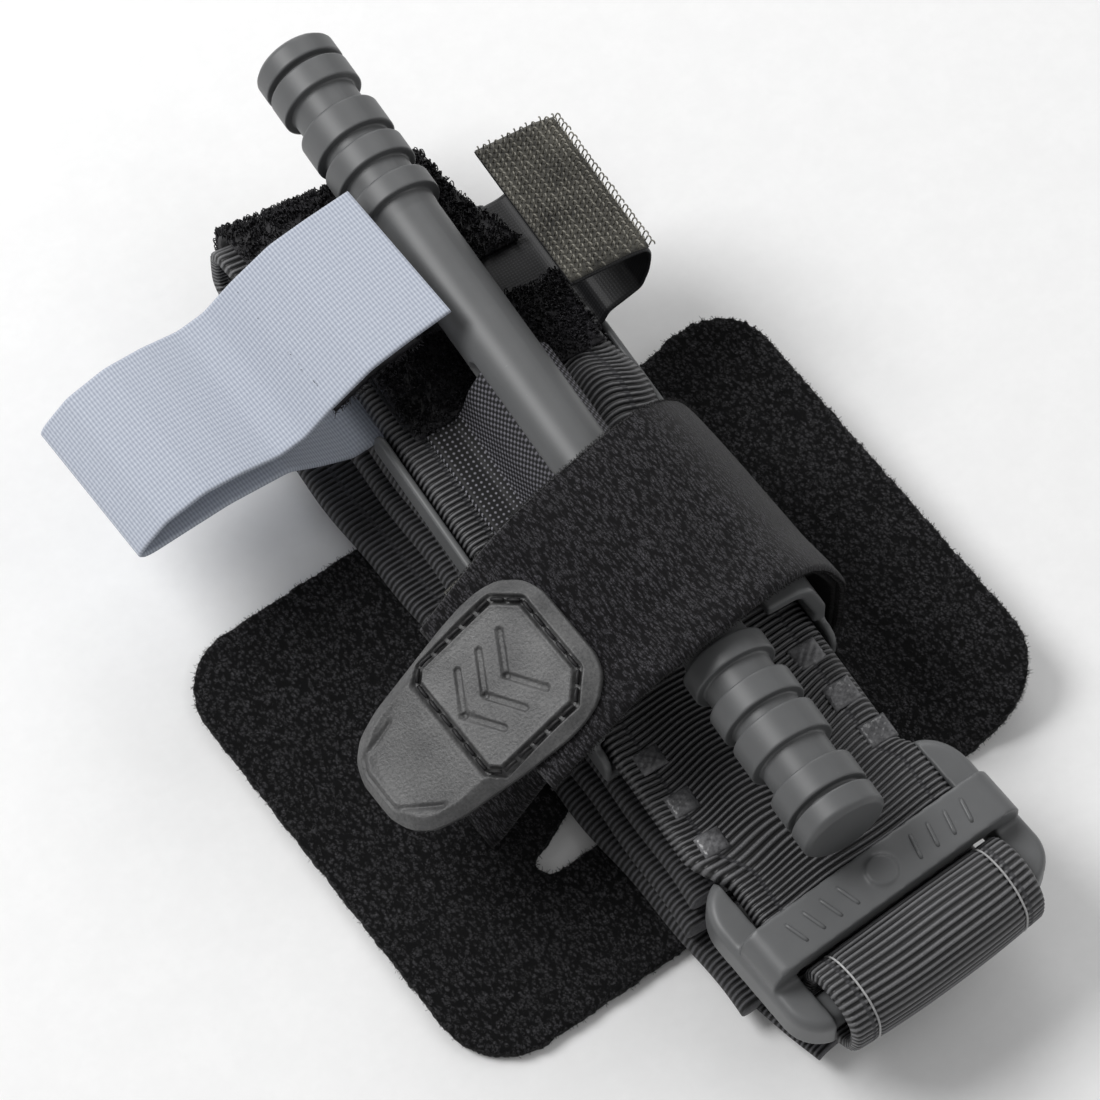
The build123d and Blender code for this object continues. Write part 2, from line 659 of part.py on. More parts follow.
def time_strap_hooks():
    """Hook patch sewn under the flap's end."""
    before, knee, end = [Vector(*point) for point in TIME_UPPER[-3:]]
    sloped = (knee - before).normalized()
    flat = (end - knee).normalized()
    down = Vector(0, -(TIME_STRAP_T + TIME_PATCH_T) / 2 - SOFT_GAP - LAYER_GAP)
    stop = end + flat * (TIME_PATCH_END - end.X) + down
    bend = stop - flat * TIME_PATCH_FLAT
    start = bend - sloped * TIME_PATCH_SLOPED
    points = [(spot.X, spot.Y) for spot in (start, bend, stop)]
    return time_strap_part(points, TIME_PATCH_T, TIME_PATCH_INSET)


# ---------------------------------------------------------------- buckle
def arm_levels():
    """Underside and top of the buckle's arms."""
    return BUCKLE_Z - BUCKLE_T / 2, BUCKLE_Z + BUCKLE_T / 2


def near_bar_y():
    """Near and far side of the bar that the webbing wraps, from the buckle's middle."""
    near = NEAR_BAR_SET_IN - BUCKLE_LENGTH / 2
    return near, near + NEAR_BAR_D


def buckle_frame():
    """The buckle's two arms and the two low bars between them."""
    low, high = arm_levels()
    outline = RectangleRounded(BUCKLE_WIDTH, BUCKLE_LENGTH, BUCKLE_CORNER_R)
    frame = Pos(0, 0, low) * extrude(outline, amount=BUCKLE_T)
    frame = fillet(frame.edges().group_by(Axis.Z)[-1], BUCKLE_EDGE_R)
    inner = BUCKLE_WIDTH / 2 - ARM_WIDTH
    frame -= block(
        (-inner, inner),
        (-BUCKLE_LENGTH, BUCKLE_LENGTH),
        (low - CUT_MARGIN, high + CUT_MARGIN),
    )
    far = BUCKLE_LENGTH / 2 - BUCKLE_CORNER_R / 2
    far_bar = block((-inner, inner), (far - FAR_BAR_D, far), (low, low + FAR_BAR_T))
    near_z = (BUCKLE_Z - NEAR_BAR_T / 2, BUCKLE_Z + NEAR_BAR_T / 2)
    near_bar = block((-inner, inner), near_bar_y(), near_z)
    near_bar = fillet(near_bar.edges().filter_by(Axis.X), NEAR_BAR_R)
    return frame + far_bar + near_bar


def bridge():
    """The raised bar that joins the arms over the band, with a plain round boss."""
    low, high = arm_levels()
    under = TOP_Z + BRIDGE_GAP
    top = under + BRIDGE_T
    half = BUCKLE_WIDTH / 2 - BRIDGE_INSET
    inner = BUCKLE_WIDTH / 2 - ARM_WIDTH
    bar = block((-half, half), BRIDGE_Y, (low + CUT_MARGIN, top))
    bar = fillet(bar.edges().filter_by(Axis.Y).group_by(Axis.Z)[-1], BRIDGE_T)
    bar -= block((-inner, inner), (-BUCKLE_LENGTH, BUCKLE_LENGTH), (low, under))
    boss = Pos(0, sum(BRIDGE_Y) / 2, top) * Cylinder(BOSS_R, 2 * BOSS_H)
    return bar + boss


def buckle():
    """One-piece moulded buckle."""
    return place(buckle_frame() + bridge(), BUCKLE_X, BUCKLE_Y, BUCKLE_YAW)


def band_roll():
    """The band where it comes up through the buckle and wraps the near bar."""
    inner = BRIDGE_Y[0] - SOFT_GAP - ROLL_T / 2
    outer = ROLL_T / 2 - BUCKLE_LENGTH / 2 - ROLL_PROUD
    points = [
        (inner, BUCKLE_Z - NEAR_BAR_T / 2),
        (inner, BUCKLE_Z + ROLL_RISE),
        (outer, BUCKLE_Z + ROLL_RISE),
        (outer, BUCKLE_Z - ROLL_RISE),
        (ROLL_LEG_Y, BUCKLE_Z - ROLL_RISE),
    ]
    half = ROLL_WIDTH / 2
    body = tape_along(points, ROLL_BEND_R, ROLL_T, -half, half)
    return place(body, BUCKLE_X, BUCKLE_Y, BUCKLE_YAW)


PARTS = (
    carrier_panel, carrier_tongue, carrier_strap_lining, carrier_strap, strap_hook_patch,
    pull_tab, pull_tab_thread, band_low_fold, band_mid_fold, band_high_fold, band_tail,
    band_far_turn, band_top_run, base_plate, windlass_clip, windlass_rod, inner_band,
    loop_patch_near, loop_patch_far, base_tape, hook_tab, hook_tab_hooks, time_strap,
    time_strap_flap, time_strap_hooks, buckle, band_roll,
)


if __name__ == "__main__":
    os.makedirs("parts", exist_ok=True)
    for make in PARTS:
        export_step(make(), f"parts/{make.__name__}.step")
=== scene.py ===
"""Looks of a windlass tourniquet that is folded flat in its hook-and-loop carrier.

Lengths are millimetres in the classes and metres in the meshes.  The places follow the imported
model: +Y runs along the windlass rod away from the buckle, +Z is up, and the origin is the
middle of the carrier panel's back.
"""

import logging
import math
from dataclasses import dataclass
from enum import Enum
from typing import Callable, Sequence

import bpy
import numpy as np
from mathutils import Matrix, Vector

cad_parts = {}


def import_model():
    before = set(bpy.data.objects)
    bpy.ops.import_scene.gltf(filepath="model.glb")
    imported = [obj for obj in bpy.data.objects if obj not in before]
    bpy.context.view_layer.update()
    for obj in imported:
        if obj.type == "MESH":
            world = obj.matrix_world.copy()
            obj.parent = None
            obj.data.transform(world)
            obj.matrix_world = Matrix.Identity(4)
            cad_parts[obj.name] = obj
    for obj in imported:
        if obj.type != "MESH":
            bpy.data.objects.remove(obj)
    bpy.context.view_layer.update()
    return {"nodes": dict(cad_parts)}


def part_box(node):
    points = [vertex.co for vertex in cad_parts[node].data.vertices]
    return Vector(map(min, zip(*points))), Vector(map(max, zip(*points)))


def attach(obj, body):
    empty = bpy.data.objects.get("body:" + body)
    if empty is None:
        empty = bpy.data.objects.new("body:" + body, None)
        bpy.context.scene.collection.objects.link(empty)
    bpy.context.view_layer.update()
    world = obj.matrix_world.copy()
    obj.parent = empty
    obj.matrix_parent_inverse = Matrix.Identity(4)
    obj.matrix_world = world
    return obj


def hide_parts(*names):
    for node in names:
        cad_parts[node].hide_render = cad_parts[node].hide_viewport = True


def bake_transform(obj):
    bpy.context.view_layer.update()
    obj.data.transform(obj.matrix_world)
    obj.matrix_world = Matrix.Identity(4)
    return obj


LOG = logging.getLogger("tourniquet")
MM = 0.001
WEAVE = "weave"                    # attribute: turns of the rib pattern, across, along
SEAM_REACH, SEAM_DEPTH = 0.35, 0.22      # a sewn channel's half width and depth
Stations = float | tuple[tuple[float, float], ...]
Points = tuple[tuple[float, float], ...]


class Body(Enum):
    """The rigid bodies that the pieces ride on."""

    BASE = "packed_band"
    WINDLASS = "windlass"
    LID = "strap_lid"
    TONGUE = "tongue"
    TIME_FLAP = "time_flap"
    TAB_FLAP = "tab_flap"
    BUCKLE = "buckle_end"


class Across(Enum):
    """The axis that a ribbon's width lies along."""

    X = 0
    Y = 1


# ---------------------------------------------------------------- small tools
def srgb(code: str) -> tuple[float, float, float, float]:
    """Turn an sRGB hex colour to linear red, green, blue and alpha.

    Args:
        code: Six hex digits after a hash sign.

    Returns:
        The linear colour with an alpha of one.
    """
    parts = [int(code[i:i + 2], 16) / 255 for i in (1, 3, 5)]
    linear = [c / 12.92 if c <= 0.04045 else ((c + 0.055) / 1.055) ** 2.4 for c in parts]
    return (*linear, 1.0)


def add_node(tree: bpy.types.NodeTree, kind: str, sockets: dict, **settings) -> bpy.types.Node:
    """Add a node with its settings, values and links.

    Args:
        tree: The material's node tree.
        kind: Blender's name of the node type.
        sockets: Input name or index, with the value or the output socket that feeds it.
        **settings: Properties of the node itself.

    Returns:
        The new node.
    """
    node = tree.nodes.new(kind)
    for name, value in settings.items():
        setattr(node, name, value)
    for key, value in sockets.items():
        if isinstance(value, bpy.types.NodeSocket):
            tree.links.new(value, node.inputs[key])
        else:
            node.inputs[key].default_value = value
    return node


def along(stations: Stations, share: np.ndarray) -> np.ndarray:
    """Read a value that changes along a length.

    Args:
        stations: One number, or (share of the length, value) pairs.
        share: Where to read it, from 0 to 1.

    Returns:
        The value at each place.
    """
    if isinstance(stations, (int, float)):
        return np.full_like(share, float(stations))
    knots, values = zip(*stations)
    return np.interp(share, knots, values)


def ease_in(value: np.ndarray, low: float, high: float) -> np.ndarray:
    """Rise smoothly from 0 at low to 1 at high."""
    t = np.clip((value - low) / (high - low), 0, 1)
    return t * t * (3 - 2 * t)


def hump(value: np.ndarray, middle: float, reach: float) -> np.ndarray:
    """A bell of height one round a middle."""
    return np.exp(-((value - middle) / reach) ** 2)


def turned(points: np.ndarray, yaw: float, pivot: tuple[float, float] = (0.0, 0.0)) -> np.ndarray:
    """Turn points about an upright axis.

    Args:
        points: Places, in millimetres, along the last axis.
        yaw: The turn, in degrees.
        pivot: Where the axis lands after the turn.

    Returns:
        The turned places.
    """
    c, s = math.cos(math.radians(yaw)), math.sin(math.radians(yaw))
    out = points.copy()
    out[..., 0] = points[..., 0] * c - points[..., 1] * s + pivot[0]
    out[..., 1] = points[..., 0] * s + points[..., 1] * c + pivot[1]
    return out


def make_object(
    name: str,
    points: np.ndarray,
    faces: list,
    material: bpy.types.Material,
    weave: np.ndarray | None = None,
) -> bpy.types.Object:
    """Make a smooth-shaded object from points in millimetres.

    Args:
        name: The object's name.
        points: Places, one row each.
        faces: Lists of point numbers.
        material: The finish.
        weave: The pattern's coordinates at each point, if the finish reads them.

    Returns:
        The linked object.
    """
    mesh = bpy.data.meshes.new(name)
    mesh.from_pydata((points * MM).tolist(), [], faces)
    mesh.polygons.foreach_set("use_smooth", [True] * len(mesh.polygons))
    if weave is not None:
        layer = mesh.attributes.new(WEAVE, "FLOAT_VECTOR", "POINT")
        layer.data.foreach_set("vector", weave.astype(np.float32).ravel())
    mesh.materials.append(material)
    mesh.update()
    item = bpy.data.objects.new(name, mesh)
    bpy.context.scene.collection.objects.link(item)
    return item


def ring_faces(count: int, sides: int, start: int = 0, capped: bool = True) -> list:
    """Faces of a tube of rings whose points are stored ring after ring.

    Args:
        count: Number of rings.
        sides: Points in each ring.
        start: Number of the first point.
        capped: Whether both ends are closed.

    Returns:
        Lists of point numbers.
    """
    index = np.arange(count * sides).reshape(count, sides) + start
    near, far = index[:-1], index[1:]
    quads = np.stack([near, np.roll(near, -1, 1), np.roll(far, -1, 1), far], -1)
    faces = quads.reshape(-1, 4).tolist()
    if capped:
        faces += [index[0][::-1].tolist(), index[-1].tolist()]
    return faces


def faces_outward(rings: np.ndarray) -> np.ndarray:
    """Reverse the rings' direction if the tube that they make would be inside out."""
    middle = rings[len(rings) // 2]
    way = rings[len(rings) // 2 + 1].mean(0) - middle.mean(0)
    spokes = middle - middle.mean(0)
    turn = np.cross(spokes, np.roll(spokes, -1, 0)).sum(0)
    return rings if turn @ way > 0 else rings[:, ::-1]


def fibres(
    name: str,
    paths: np.ndarray,
    radius: float,
    material: bpy.types.Material,
    sides: int = 4,
) -> bpy.types.Object:
    """Make many thin tubes as one object.

    Args:
        name: The object's name.
        paths: Places as (tube, point, axis), in millimetres.
        radius: Radius of each tube.
        material: The finish.
        sides: Sides of each tube.

    Returns:
        The linked object.
    """
    count, steps, _ = paths.shape
    way = np.gradient(paths, axis=1)
    way /= np.linalg.norm(way, axis=2, keepdims=True) + 1e-9
    helper = np.where(np.abs(way[..., 2:3]) > 0.8, [1.0, 0.0, 0.0], [0.0, 0.0, 1.0])
    first = np.cross(way, helper)
    first /= np.linalg.norm(first, axis=2, keepdims=True) + 1e-9
    second = np.cross(way, first)
    angle = np.arange(sides) * 2 * math.pi / sides
    spokes = (
        first[:, :, None] * np.cos(angle)[None, None, :, None]
        + second[:, :, None] * np.sin(angle)[None, None, :, None]
    )
    points = (paths[:, :, None] + radius * spokes).reshape(-1, 3)
    one = np.array(ring_faces(steps, sides, capped=False))
    offsets = np.arange(count)[:, None, None] * steps * sides
    faces = (one[None] + offsets).reshape(-1, 4).tolist()
    cap = np.arange(sides)
    for end, order in ((0, cap[::-1]), ((steps - 1) * sides, cap)):
        faces += (order[None] + end + np.arange(count)[:, None] * steps * sides).tolist()
    return make_object(name, points, faces, material)


# ---------------------------------------------------------------- finishes
@dataclass(frozen=True)
class Finish:
    """A finish: the values of its shader, and a pattern that gives colour and height."""

    name: str
    roughness: float = 0.6
    ior: float = 1.5
    sheen: float = 0.0
    relief: float = 0.1            # height of the pattern, in millimetres
    bump: float = 0.6
    gloss: float = 0.5             # share of the mirror light that leaves the surface

    def pattern(self, tree: bpy.types.NodeTree) -> tuple:
        """Return the colour socket and the height socket."""
        raise NotImplementedError

    def material(self) -> bpy.types.Material:
        """Build the material.

        Returns:
            The material with its pattern linked to the shader.
        """
        material = bpy.data.materials.new(self.name)
        material.use_nodes = True
        tree = material.node_tree
        shader = tree.nodes["Principled BSDF"]
        shader.inputs["Roughness"].default_value = self.roughness
        shader.inputs["IOR"].default_value = self.ior
        shader.inputs["Specular IOR Level"].default_value = self.gloss
        shader.inputs["Sheen Weight"].default_value = self.sheen
        shader.inputs["Sheen Roughness"].default_value = 0.5
        colour, height = self.pattern(tree)
        tree.links.new(colour, shader.inputs["Base Color"])
        bump = add_node(tree, "ShaderNodeBump", {
            "Height": height, "Strength": self.bump, "Distance": self.relief * MM})
        tree.links.new(bump.outputs["Normal"], shader.inputs["Normal"])
        return material


@dataclass(frozen=True)
class Moulded(Finish):
    """Injection-moulded nylon or acetal: even grey, faint flow marks and small scuffs."""

    colour: str = "#5c5d5e"
    scuff: str = "#8a8b8c"
    grain: float = 0.35            # millimetres

    def pattern(self, tree: bpy.types.NodeTree) -> tuple:
        """Mottled grey with scuffs, and a fine spark-eroded grain."""
        place = add_node(tree, "ShaderNodeTexCoord", {}).outputs["Object"]
        flow = add_node(tree, "ShaderNodeTexNoise", {
            "Vector": place, "Scale": 1 / (6 * MM), "Detail": 4.0, "Roughness": 0.6})
        dark = tuple(c * 0.86 for c in srgb(self.colour)[:3]) + (1.0,)
        light = tuple(c * 1.12 for c in srgb(self.colour)[:3]) + (1.0,)
        mottled = add_node(tree, "ShaderNodeMix", {
            0: flow.outputs["Fac"], 6: dark, 7: light}, data_type="RGBA")
        spots = add_node(tree, "ShaderNodeTexNoise", {
            "Vector": place, "Scale": 1 / (1.3 * MM), "Detail": 5.0, "Roughness": 0.75})
        worn = add_node(tree, "ShaderNodeMapRange", {
            "Value": spots.outputs["Fac"], "From Min": 0.66, "From Max": 0.78, "To Max": 0.35})
        tint = add_node(tree, "ShaderNodeMix", {
            0: worn.outputs[0], 6: mottled.outputs[2], 7: srgb(self.scuff)}, data_type="RGBA")
        grain = add_node(tree, "ShaderNodeTexNoise", {
            "Vector": place, "Scale": 1 / (self.grain * MM), "Detail": 2.0})
        return tint.outputs[2], grain.outputs["Fac"]


@dataclass(frozen=True)
class Pile(Finish):
    """Brushed nylon loop: short tangled loops on a black ground, with painted highlights on their
    tips and painted shade between them.
    """

    # deep is painted shade between the tufts; tip is the painted highlight on the tuft tips.
    deep: str = "#0b0b0c"
    tip_highlight: str = "#58575c"
    clump: float = 0.75            # size of a tuft, drawn about twice the real one to show
    slant: float = 0.6             # lean of the tufts, in radians
    stretch: float = 1.9

    def pattern(self, tree: bpy.types.NodeTree) -> tuple:
        """Tufts as stretched cells with painted highlights on their tips and painted shade between
        them, and slow patches of brushed nap.
        """
        place = add_node(tree, "ShaderNodeAttribute", {}, attribute_name=WEAVE)
        cells = add_node(tree, "ShaderNodeMapping", {
            "Vector": place.outputs["Vector"],
            "Rotation": (0.0, 0.0, self.slant),
            "Scale": (1 / self.clump, 1 / (self.clump * self.stretch), 1 / self.clump)})
        wander = add_node(tree, "ShaderNodeTexNoise", {
            "Vector": cells.outputs[0], "Scale": 1.3, "Detail": 3.0})
        bent = add_node(tree, "ShaderNodeVectorMath", {
            0: cells.outputs[0], 1: wander.outputs["Color"]}, operation="ADD")
        tufts = add_node(tree, "ShaderNodeTexVoronoi", {
            "Vector": bent.outputs[0], "Scale": 1.0, "Randomness": 1.0})
        fine = add_node(tree, "ShaderNodeTexNoise", {
            "Vector": place.outputs["Vector"], "Scale": 3.2, "Detail": 4.0, "Roughness": 0.7})
        bright = add_node(tree, "ShaderNodeMapRange", {
            "Value": tufts.outputs["Distance"], "From Min": 0.62, "From Max": 0.12})
        speck = add_node(tree, "ShaderNodeMapRange", {
            "Value": fine.outputs["Fac"], "From Min": 0.42, "From Max": 0.68})
        height = add_node(tree, "ShaderNodeMath", {
            0: bright.outputs[0], 1: speck.outputs[0]}, operation="MULTIPLY")
        nap = add_node(tree, "ShaderNodeTexNoise", {
            "Vector": place.outputs["Vector"], "Scale": 0.12, "Detail": 2.0})
        share = add_node(tree, "ShaderNodeMapRange", {
            "Value": nap.outputs["Fac"], "From Min": 0.3, "From Max": 0.7,
            "To Min": 0.65, "To Max": 1.0})
        lit = add_node(tree, "ShaderNodeMath", {
            0: height.outputs[0], 1: share.outputs[0]}, operation="MULTIPLY")
        # Painted shade deep in the pile, rising to painted highlights on the tuft tips.
        colour = add_node(tree, "ShaderNodeMix", {
            0: lit.outputs[0], 6: srgb(self.deep), 7: srgb(self.tip_highlight)}, data_type="RGBA")
        return colour.outputs[2], height.outputs[0]


@dataclass(frozen=True)
class Ribbed(Finish):
    """Ribbed nylon webbing: grey cord ribs, with the gaps between them painted dark as shade."""

    # Painted shade in the gaps between the ribs.
    gap_shade: str = "#050506"
    top: str = "#626264"
    edge: float = 14.4             # distance of the seam from the middle
    seam: str = "#37373a"

    def pattern(self, tree: bpy.types.NodeTree) -> tuple:
        """Ribs from the ribbon's own phase, with painted shade in the gaps, a fine yarn texture
        and a seam line.
        """
        place = add_node(tree, "ShaderNodeAttribute", {}, attribute_name=WEAVE)
        parts = add_node(tree, "ShaderNodeSeparateXYZ", {"Vector": place.outputs["Vector"]})
        turn = add_node(tree, "ShaderNodeMath", {
            0: parts.outputs["X"], 1: 2 * math.pi}, operation="MULTIPLY")
        wave = add_node(tree, "ShaderNodeMath", {0: turn.outputs[0]}, operation="COSINE")
        rib = add_node(tree, "ShaderNodeMapRange", {
            "Value": wave.outputs[0], "From Min": -0.55, "From Max": 0.75})
        yarn = add_node(tree, "ShaderNodeTexNoise", {
            "Vector": place.outputs["Vector"], "Scale": 3.0, "Detail": 4.0, "Roughness": 0.7})
        rough = add_node(tree, "ShaderNodeMapRange", {
            "Value": yarn.outputs["Fac"], "From Min": 0.25, "From Max": 0.75,
            "To Min": 0.62, "To Max": 1.1})
        lit = add_node(tree, "ShaderNodeMath", {
            0: rib.outputs[0], 1: rough.outputs[0]}, operation="MULTIPLY")
        # Colour runs from painted shade in the rib gaps to the grey of the rib tops.
        ribs = add_node(tree, "ShaderNodeMix", {
            0: lit.outputs[0], 6: srgb(self.gap_shade), 7: srgb(self.top)}, data_type="RGBA")
        side = add_node(tree, "ShaderNodeMath", {0: parts.outputs["Y"]}, operation="ABSOLUTE")
        off = add_node(tree, "ShaderNodeMath", {
            0: side.outputs[0], 1: self.edge}, operation="SUBTRACT")
        away = add_node(tree, "ShaderNodeMath", {0: off.outputs[0]}, operation="ABSOLUTE")
        line = add_node(tree, "ShaderNodeMapRange", {
            "Value": away.outputs[0], "From Min": 0.35, "From Max": 0.2, "To Max": 0.85})
        colour = add_node(tree, "ShaderNodeMix", {
            0: line.outputs[0], 6: ribs.outputs[2], 7: srgb(self.seam)}, data_type="RGBA")
        return colour.outputs[2], lit.outputs[0]


@dataclass(frozen=True)
class Woven(Finish):
    """A flat weave: threads along and across at their own spacings."""

    dark: str = "#0a0a0b"
    light: str = "#3a3a3d"
    pitch_along: float = 0.9       # thread spacings, drawn coarser than real so that they show
    pitch_across: float = 0.9
    twist: float = 0.0             # slope of the weave's diagonal
    cross: float = 1.0             # weight of the threads across
    low: float = -0.2
    high: float = 0.9

    def pattern(self, tree: bpy.types.NodeTree) -> tuple:
        """The sum of two thread waves, broken up by yarn noise."""
        place = add_node(tree, "ShaderNodeAttribute", {}, attribute_name=WEAVE)
        slanted = add_node(tree, "ShaderNodeMapping", {
            "Vector": place.outputs["Vector"], "Rotation": (self.twist, 0.0, 0.0)})
        parts = add_node(tree, "ShaderNodeSeparateXYZ", {"Vector": slanted.outputs[0]})
        waves = []
        for axis, pitch in (("Z", self.pitch_along), ("Y", self.pitch_across)):
            turn = add_node(tree, "ShaderNodeMath", {
                0: parts.outputs[axis], 1: 2 * math.pi / pitch}, operation="MULTIPLY")
            waves.append(add_node(
                tree, "ShaderNodeMath", {0: turn.outputs[0]}, operation="COSINE"))
        both = add_node(tree, "ShaderNodeMath", {
            0: waves[1].outputs[0], 1: self.cross, 2: waves[0].outputs[0]},
            operation="MULTIPLY_ADD")
        dots = add_node(tree, "ShaderNodeMapRange", {
            "Value": both.outputs[0], "From Min": self.low, "From Max": 2 * self.high})
        yarn = add_node(tree, "ShaderNodeTexNoise", {
            "Vector": place.outputs["Vector"], "Scale": 2.5, "Detail": 3.0})
        rough = add_node(tree, "ShaderNodeMapRange", {
            "Value": yarn.outputs["Fac"], "From Min": 0.3, "From Max": 0.7,
            "To Min": 0.7, "To Max": 1.05})
        lit = add_node(tree, "ShaderNodeMath", {
            0: dots.outputs[0], 1: rough.outputs[0]}, operation="MULTIPLY")
        colour = add_node(tree, "ShaderNodeMix", {
            0: lit.outputs[0], 6: srgb(self.dark), 7: srgb(self.light)}, data_type="RGBA")
        return colour.outputs[2], lit.outputs[0]


@dataclass(frozen=True)
class Grained(Finish):
    """Rubber, thread or tangled hooks: one colour that a fine noise breaks up."""

    dark: str = "#202021"
    light: str = "#4a4a4c"
    grain: float = 0.4

    def pattern(self, tree: bpy.types.NodeTree) -> tuple:
        """A two-scale noise for colour and height."""
        place = add_node(tree, "ShaderNodeTexCoord", {}).outputs["Object"]
        fine = add_node(tree, "ShaderNodeTexNoise", {
            "Vector": place, "Scale": 1 / (self.grain * MM), "Detail": 4.0, "Roughness": 0.65})
        slow = add_node(tree, "ShaderNodeTexNoise", {
            "Vector": place, "Scale": 1 / (7 * MM), "Detail": 2.0})
        both = add_node(tree, "ShaderNodeMath", {
            0: fine.outputs["Fac"], 1: slow.outputs["Fac"]}, operation="MULTIPLY")
        share = add_node(tree, "ShaderNodeMapRange", {
            "Value": both.outputs[0], "From Min": 0.12, "From Max": 0.38})
        colour = add_node(tree, "ShaderNodeMix", {
            0: share.outputs[0], 6: srgb(self.dark), 7: srgb(self.light)}, data_type="RGBA")
        return colour.outputs[2], fine.outputs["Fac"]


# ---------------------------------------------------------------- ribbons
@dataclass(frozen=True)
class Line:
    """A line in an upright plane, in millimetres, with its corners eased."""

    points: Points
    ease: float = 1.5              # a corner is rounded over about this length
    offset: float = 0.0            # moved to the left of its direction

    def sample(self, step: float) -> tuple[np.ndarray, np.ndarray, np.ndarray]:
        """Walk along the line.

        Args:
            step: Spacing of the samples.

        Returns:
            Distance along the line, the places, and the normals to its left.
        """
        fine = 0.1
        spots = np.array(self.points, float)
        ends = (spots[0] - spots[1], spots[-1] - spots[-2])
        reach = 4 * self.ease + fine
        before = spots[0] + ends[0] / np.linalg.norm(ends[0]) * reach
        after = spots[-1] + ends[1] / np.linalg.norm(ends[1]) * reach
        raw = np.vstack([before, spots, after])
        lengths = np.r_[0, np.cumsum(np.linalg.norm(np.diff(raw, axis=0), axis=1))]
        even = np.arange(0, lengths[-1], fine)
        path = np.stack([np.interp(even, lengths, raw[:, k]) for k in (0, 1)], 1)
        window = np.arange(-reach, reach + fine / 2, fine)
        weights = np.exp(-((window / max(self.ease, fine / 2)) ** 2))
        weights /= weights.sum()
        path = np.stack([np.convolve(path[:, k], weights, "same") for k in (0, 1)], 1)
        margin = round(reach / fine)
        path = path[margin:len(path) - margin]
        way = np.gradient(path, axis=0)
        way /= np.linalg.norm(way, axis=1, keepdims=True)
        path = path + self.offset * np.stack([-way[:, 1], way[:, 0]], 1)
        lengths = np.r_[0, np.cumsum(np.linalg.norm(np.diff(path, axis=0), axis=1))]
        count = max(4, int(lengths[-1] / step) + 1)
        s = np.linspace(0, lengths[-1], count)
        spots = np.stack([np.interp(s, lengths, path[:, k]) for k in (0, 1)], 1)
        way = np.gradient(spots, axis=0)
        way /= np.linalg.norm(way, axis=1, keepdims=True)
        return s, spots, np.stack([-way[:, 1], way[:, 0]], 1)


Warp = Callable[[np.ndarray, np.ndarray, np.ndarray], np.ndarray]


@dataclass
class Ribbon:
    """A tape that follows a line, with rounded edges, ribs and its own waves."""

    name: str
    line: Line
    across: Across
    width: Stations
    thickness: float
    mid: Stations = 0.0
    yaw: float = 0.0
    pivot: tuple[float, float] = (0.0, 0.0)
    cells: int = 36                # points over the width on one face
    step: float = 0.7
    rib_pitch: float = 0.0
    rib_depth: float = 0.0
    seam: float = 0.0              # distance of a sewn channel from each edge
    ripple: float = 0.0            # how far the ribs wander, in turns
    seed: float = 0.0
    warp: Warp | None = None

    def section(self) -> tuple[np.ndarray, np.ndarray]:
        """Return the closed section as shares of the half width and half thickness."""
        turn = np.linspace(0, math.pi, self.cells)
        v = np.cos(turn)
        flat = np.linspace(1, -1, self.cells)
        v = 0.25 * v + 0.75 * flat
        nominal = along(self.width, np.array([0.5]))[0] / 2
        edge = min(self.thickness / 2 / nominal, 0.5)
        past = np.clip((np.abs(v) - (1 - edge)) / edge, 0, 1)
        n = np.sqrt(np.clip(1 - past ** 2, 0, 1))
        return np.r_[v, v[-2:0:-1]], np.r_[n, -n[-2:0:-1]]

    def ribs(self, s: np.ndarray, v: np.ndarray) -> tuple[np.ndarray, np.ndarray]:
        """Phase of the ribs, in turns, and their height."""
        if not self.rib_pitch:
            return s + 0 * v, 0 * (s + v)
        wander = np.sin(0.31 * v + 0.045 * s + self.seed) + 0.6 * np.sin(0.11 * v - 0.17 * s)
        phase = s / self.rib_pitch + self.ripple * wander
        height = self.rib_depth * 0.5 * np.cos(2 * math.pi * phase)
        return phase, height

    def build(self, material: bpy.types.Material) -> bpy.types.Object:
        """Build the tape.

        Args:
            material: The finish.

        Returns:
            The linked object, with its pattern coordinates.
        """
        step = self.rib_pitch / 6 if self.rib_pitch else self.step
        s, spots, normals = self.line.sample(step)
        share = s / s[-1]
        half = along(self.width, share)[:, None] / 2
        v01, n01 = self.section()
        v = half * v01[None]
        phase, rib = self.ribs(s[:, None], v)
        taper = np.minimum(1, 0.45 + np.minimum(s, s[-1] - s) / 0.5)[:, None]
        height = n01[None] * self.thickness / 2 * taper + np.sign(n01)[None] * rib * np.abs(n01)
        if self.seam:
            channel = hump(half - np.abs(v), self.seam, SEAM_REACH)
            height = height - np.sign(n01)[None] * SEAM_DEPTH * channel
        plane = spots[:, None] + normals[:, None] * height[..., None]
        rings = np.zeros((*plane.shape[:2], 3))
        side = along(self.mid, share)[:, None] + v
        if self.across is Across.Y:
            rings[..., 0], rings[..., 1] = plane[..., 0], side
        else:
            rings[..., 0], rings[..., 1] = side, plane[..., 0]
        rings[..., 2] = plane[..., 1]
        if self.warp:
            rings = self.warp(rings, s[:, None], v)
        rings = turned(rings, self.yaw, self.pivot)
        weave = np.stack([phase, v, s[:, None] + 0 * v], -1)
        fixed = faces_outward(rings)
        if fixed is not rings:
            weave = weave[:, ::-1]
        faces = ring_faces(*fixed.shape[:2])
        return make_object(
            self.name, fixed.reshape(-1, 3), faces, material, weave.reshape(-1, 3))


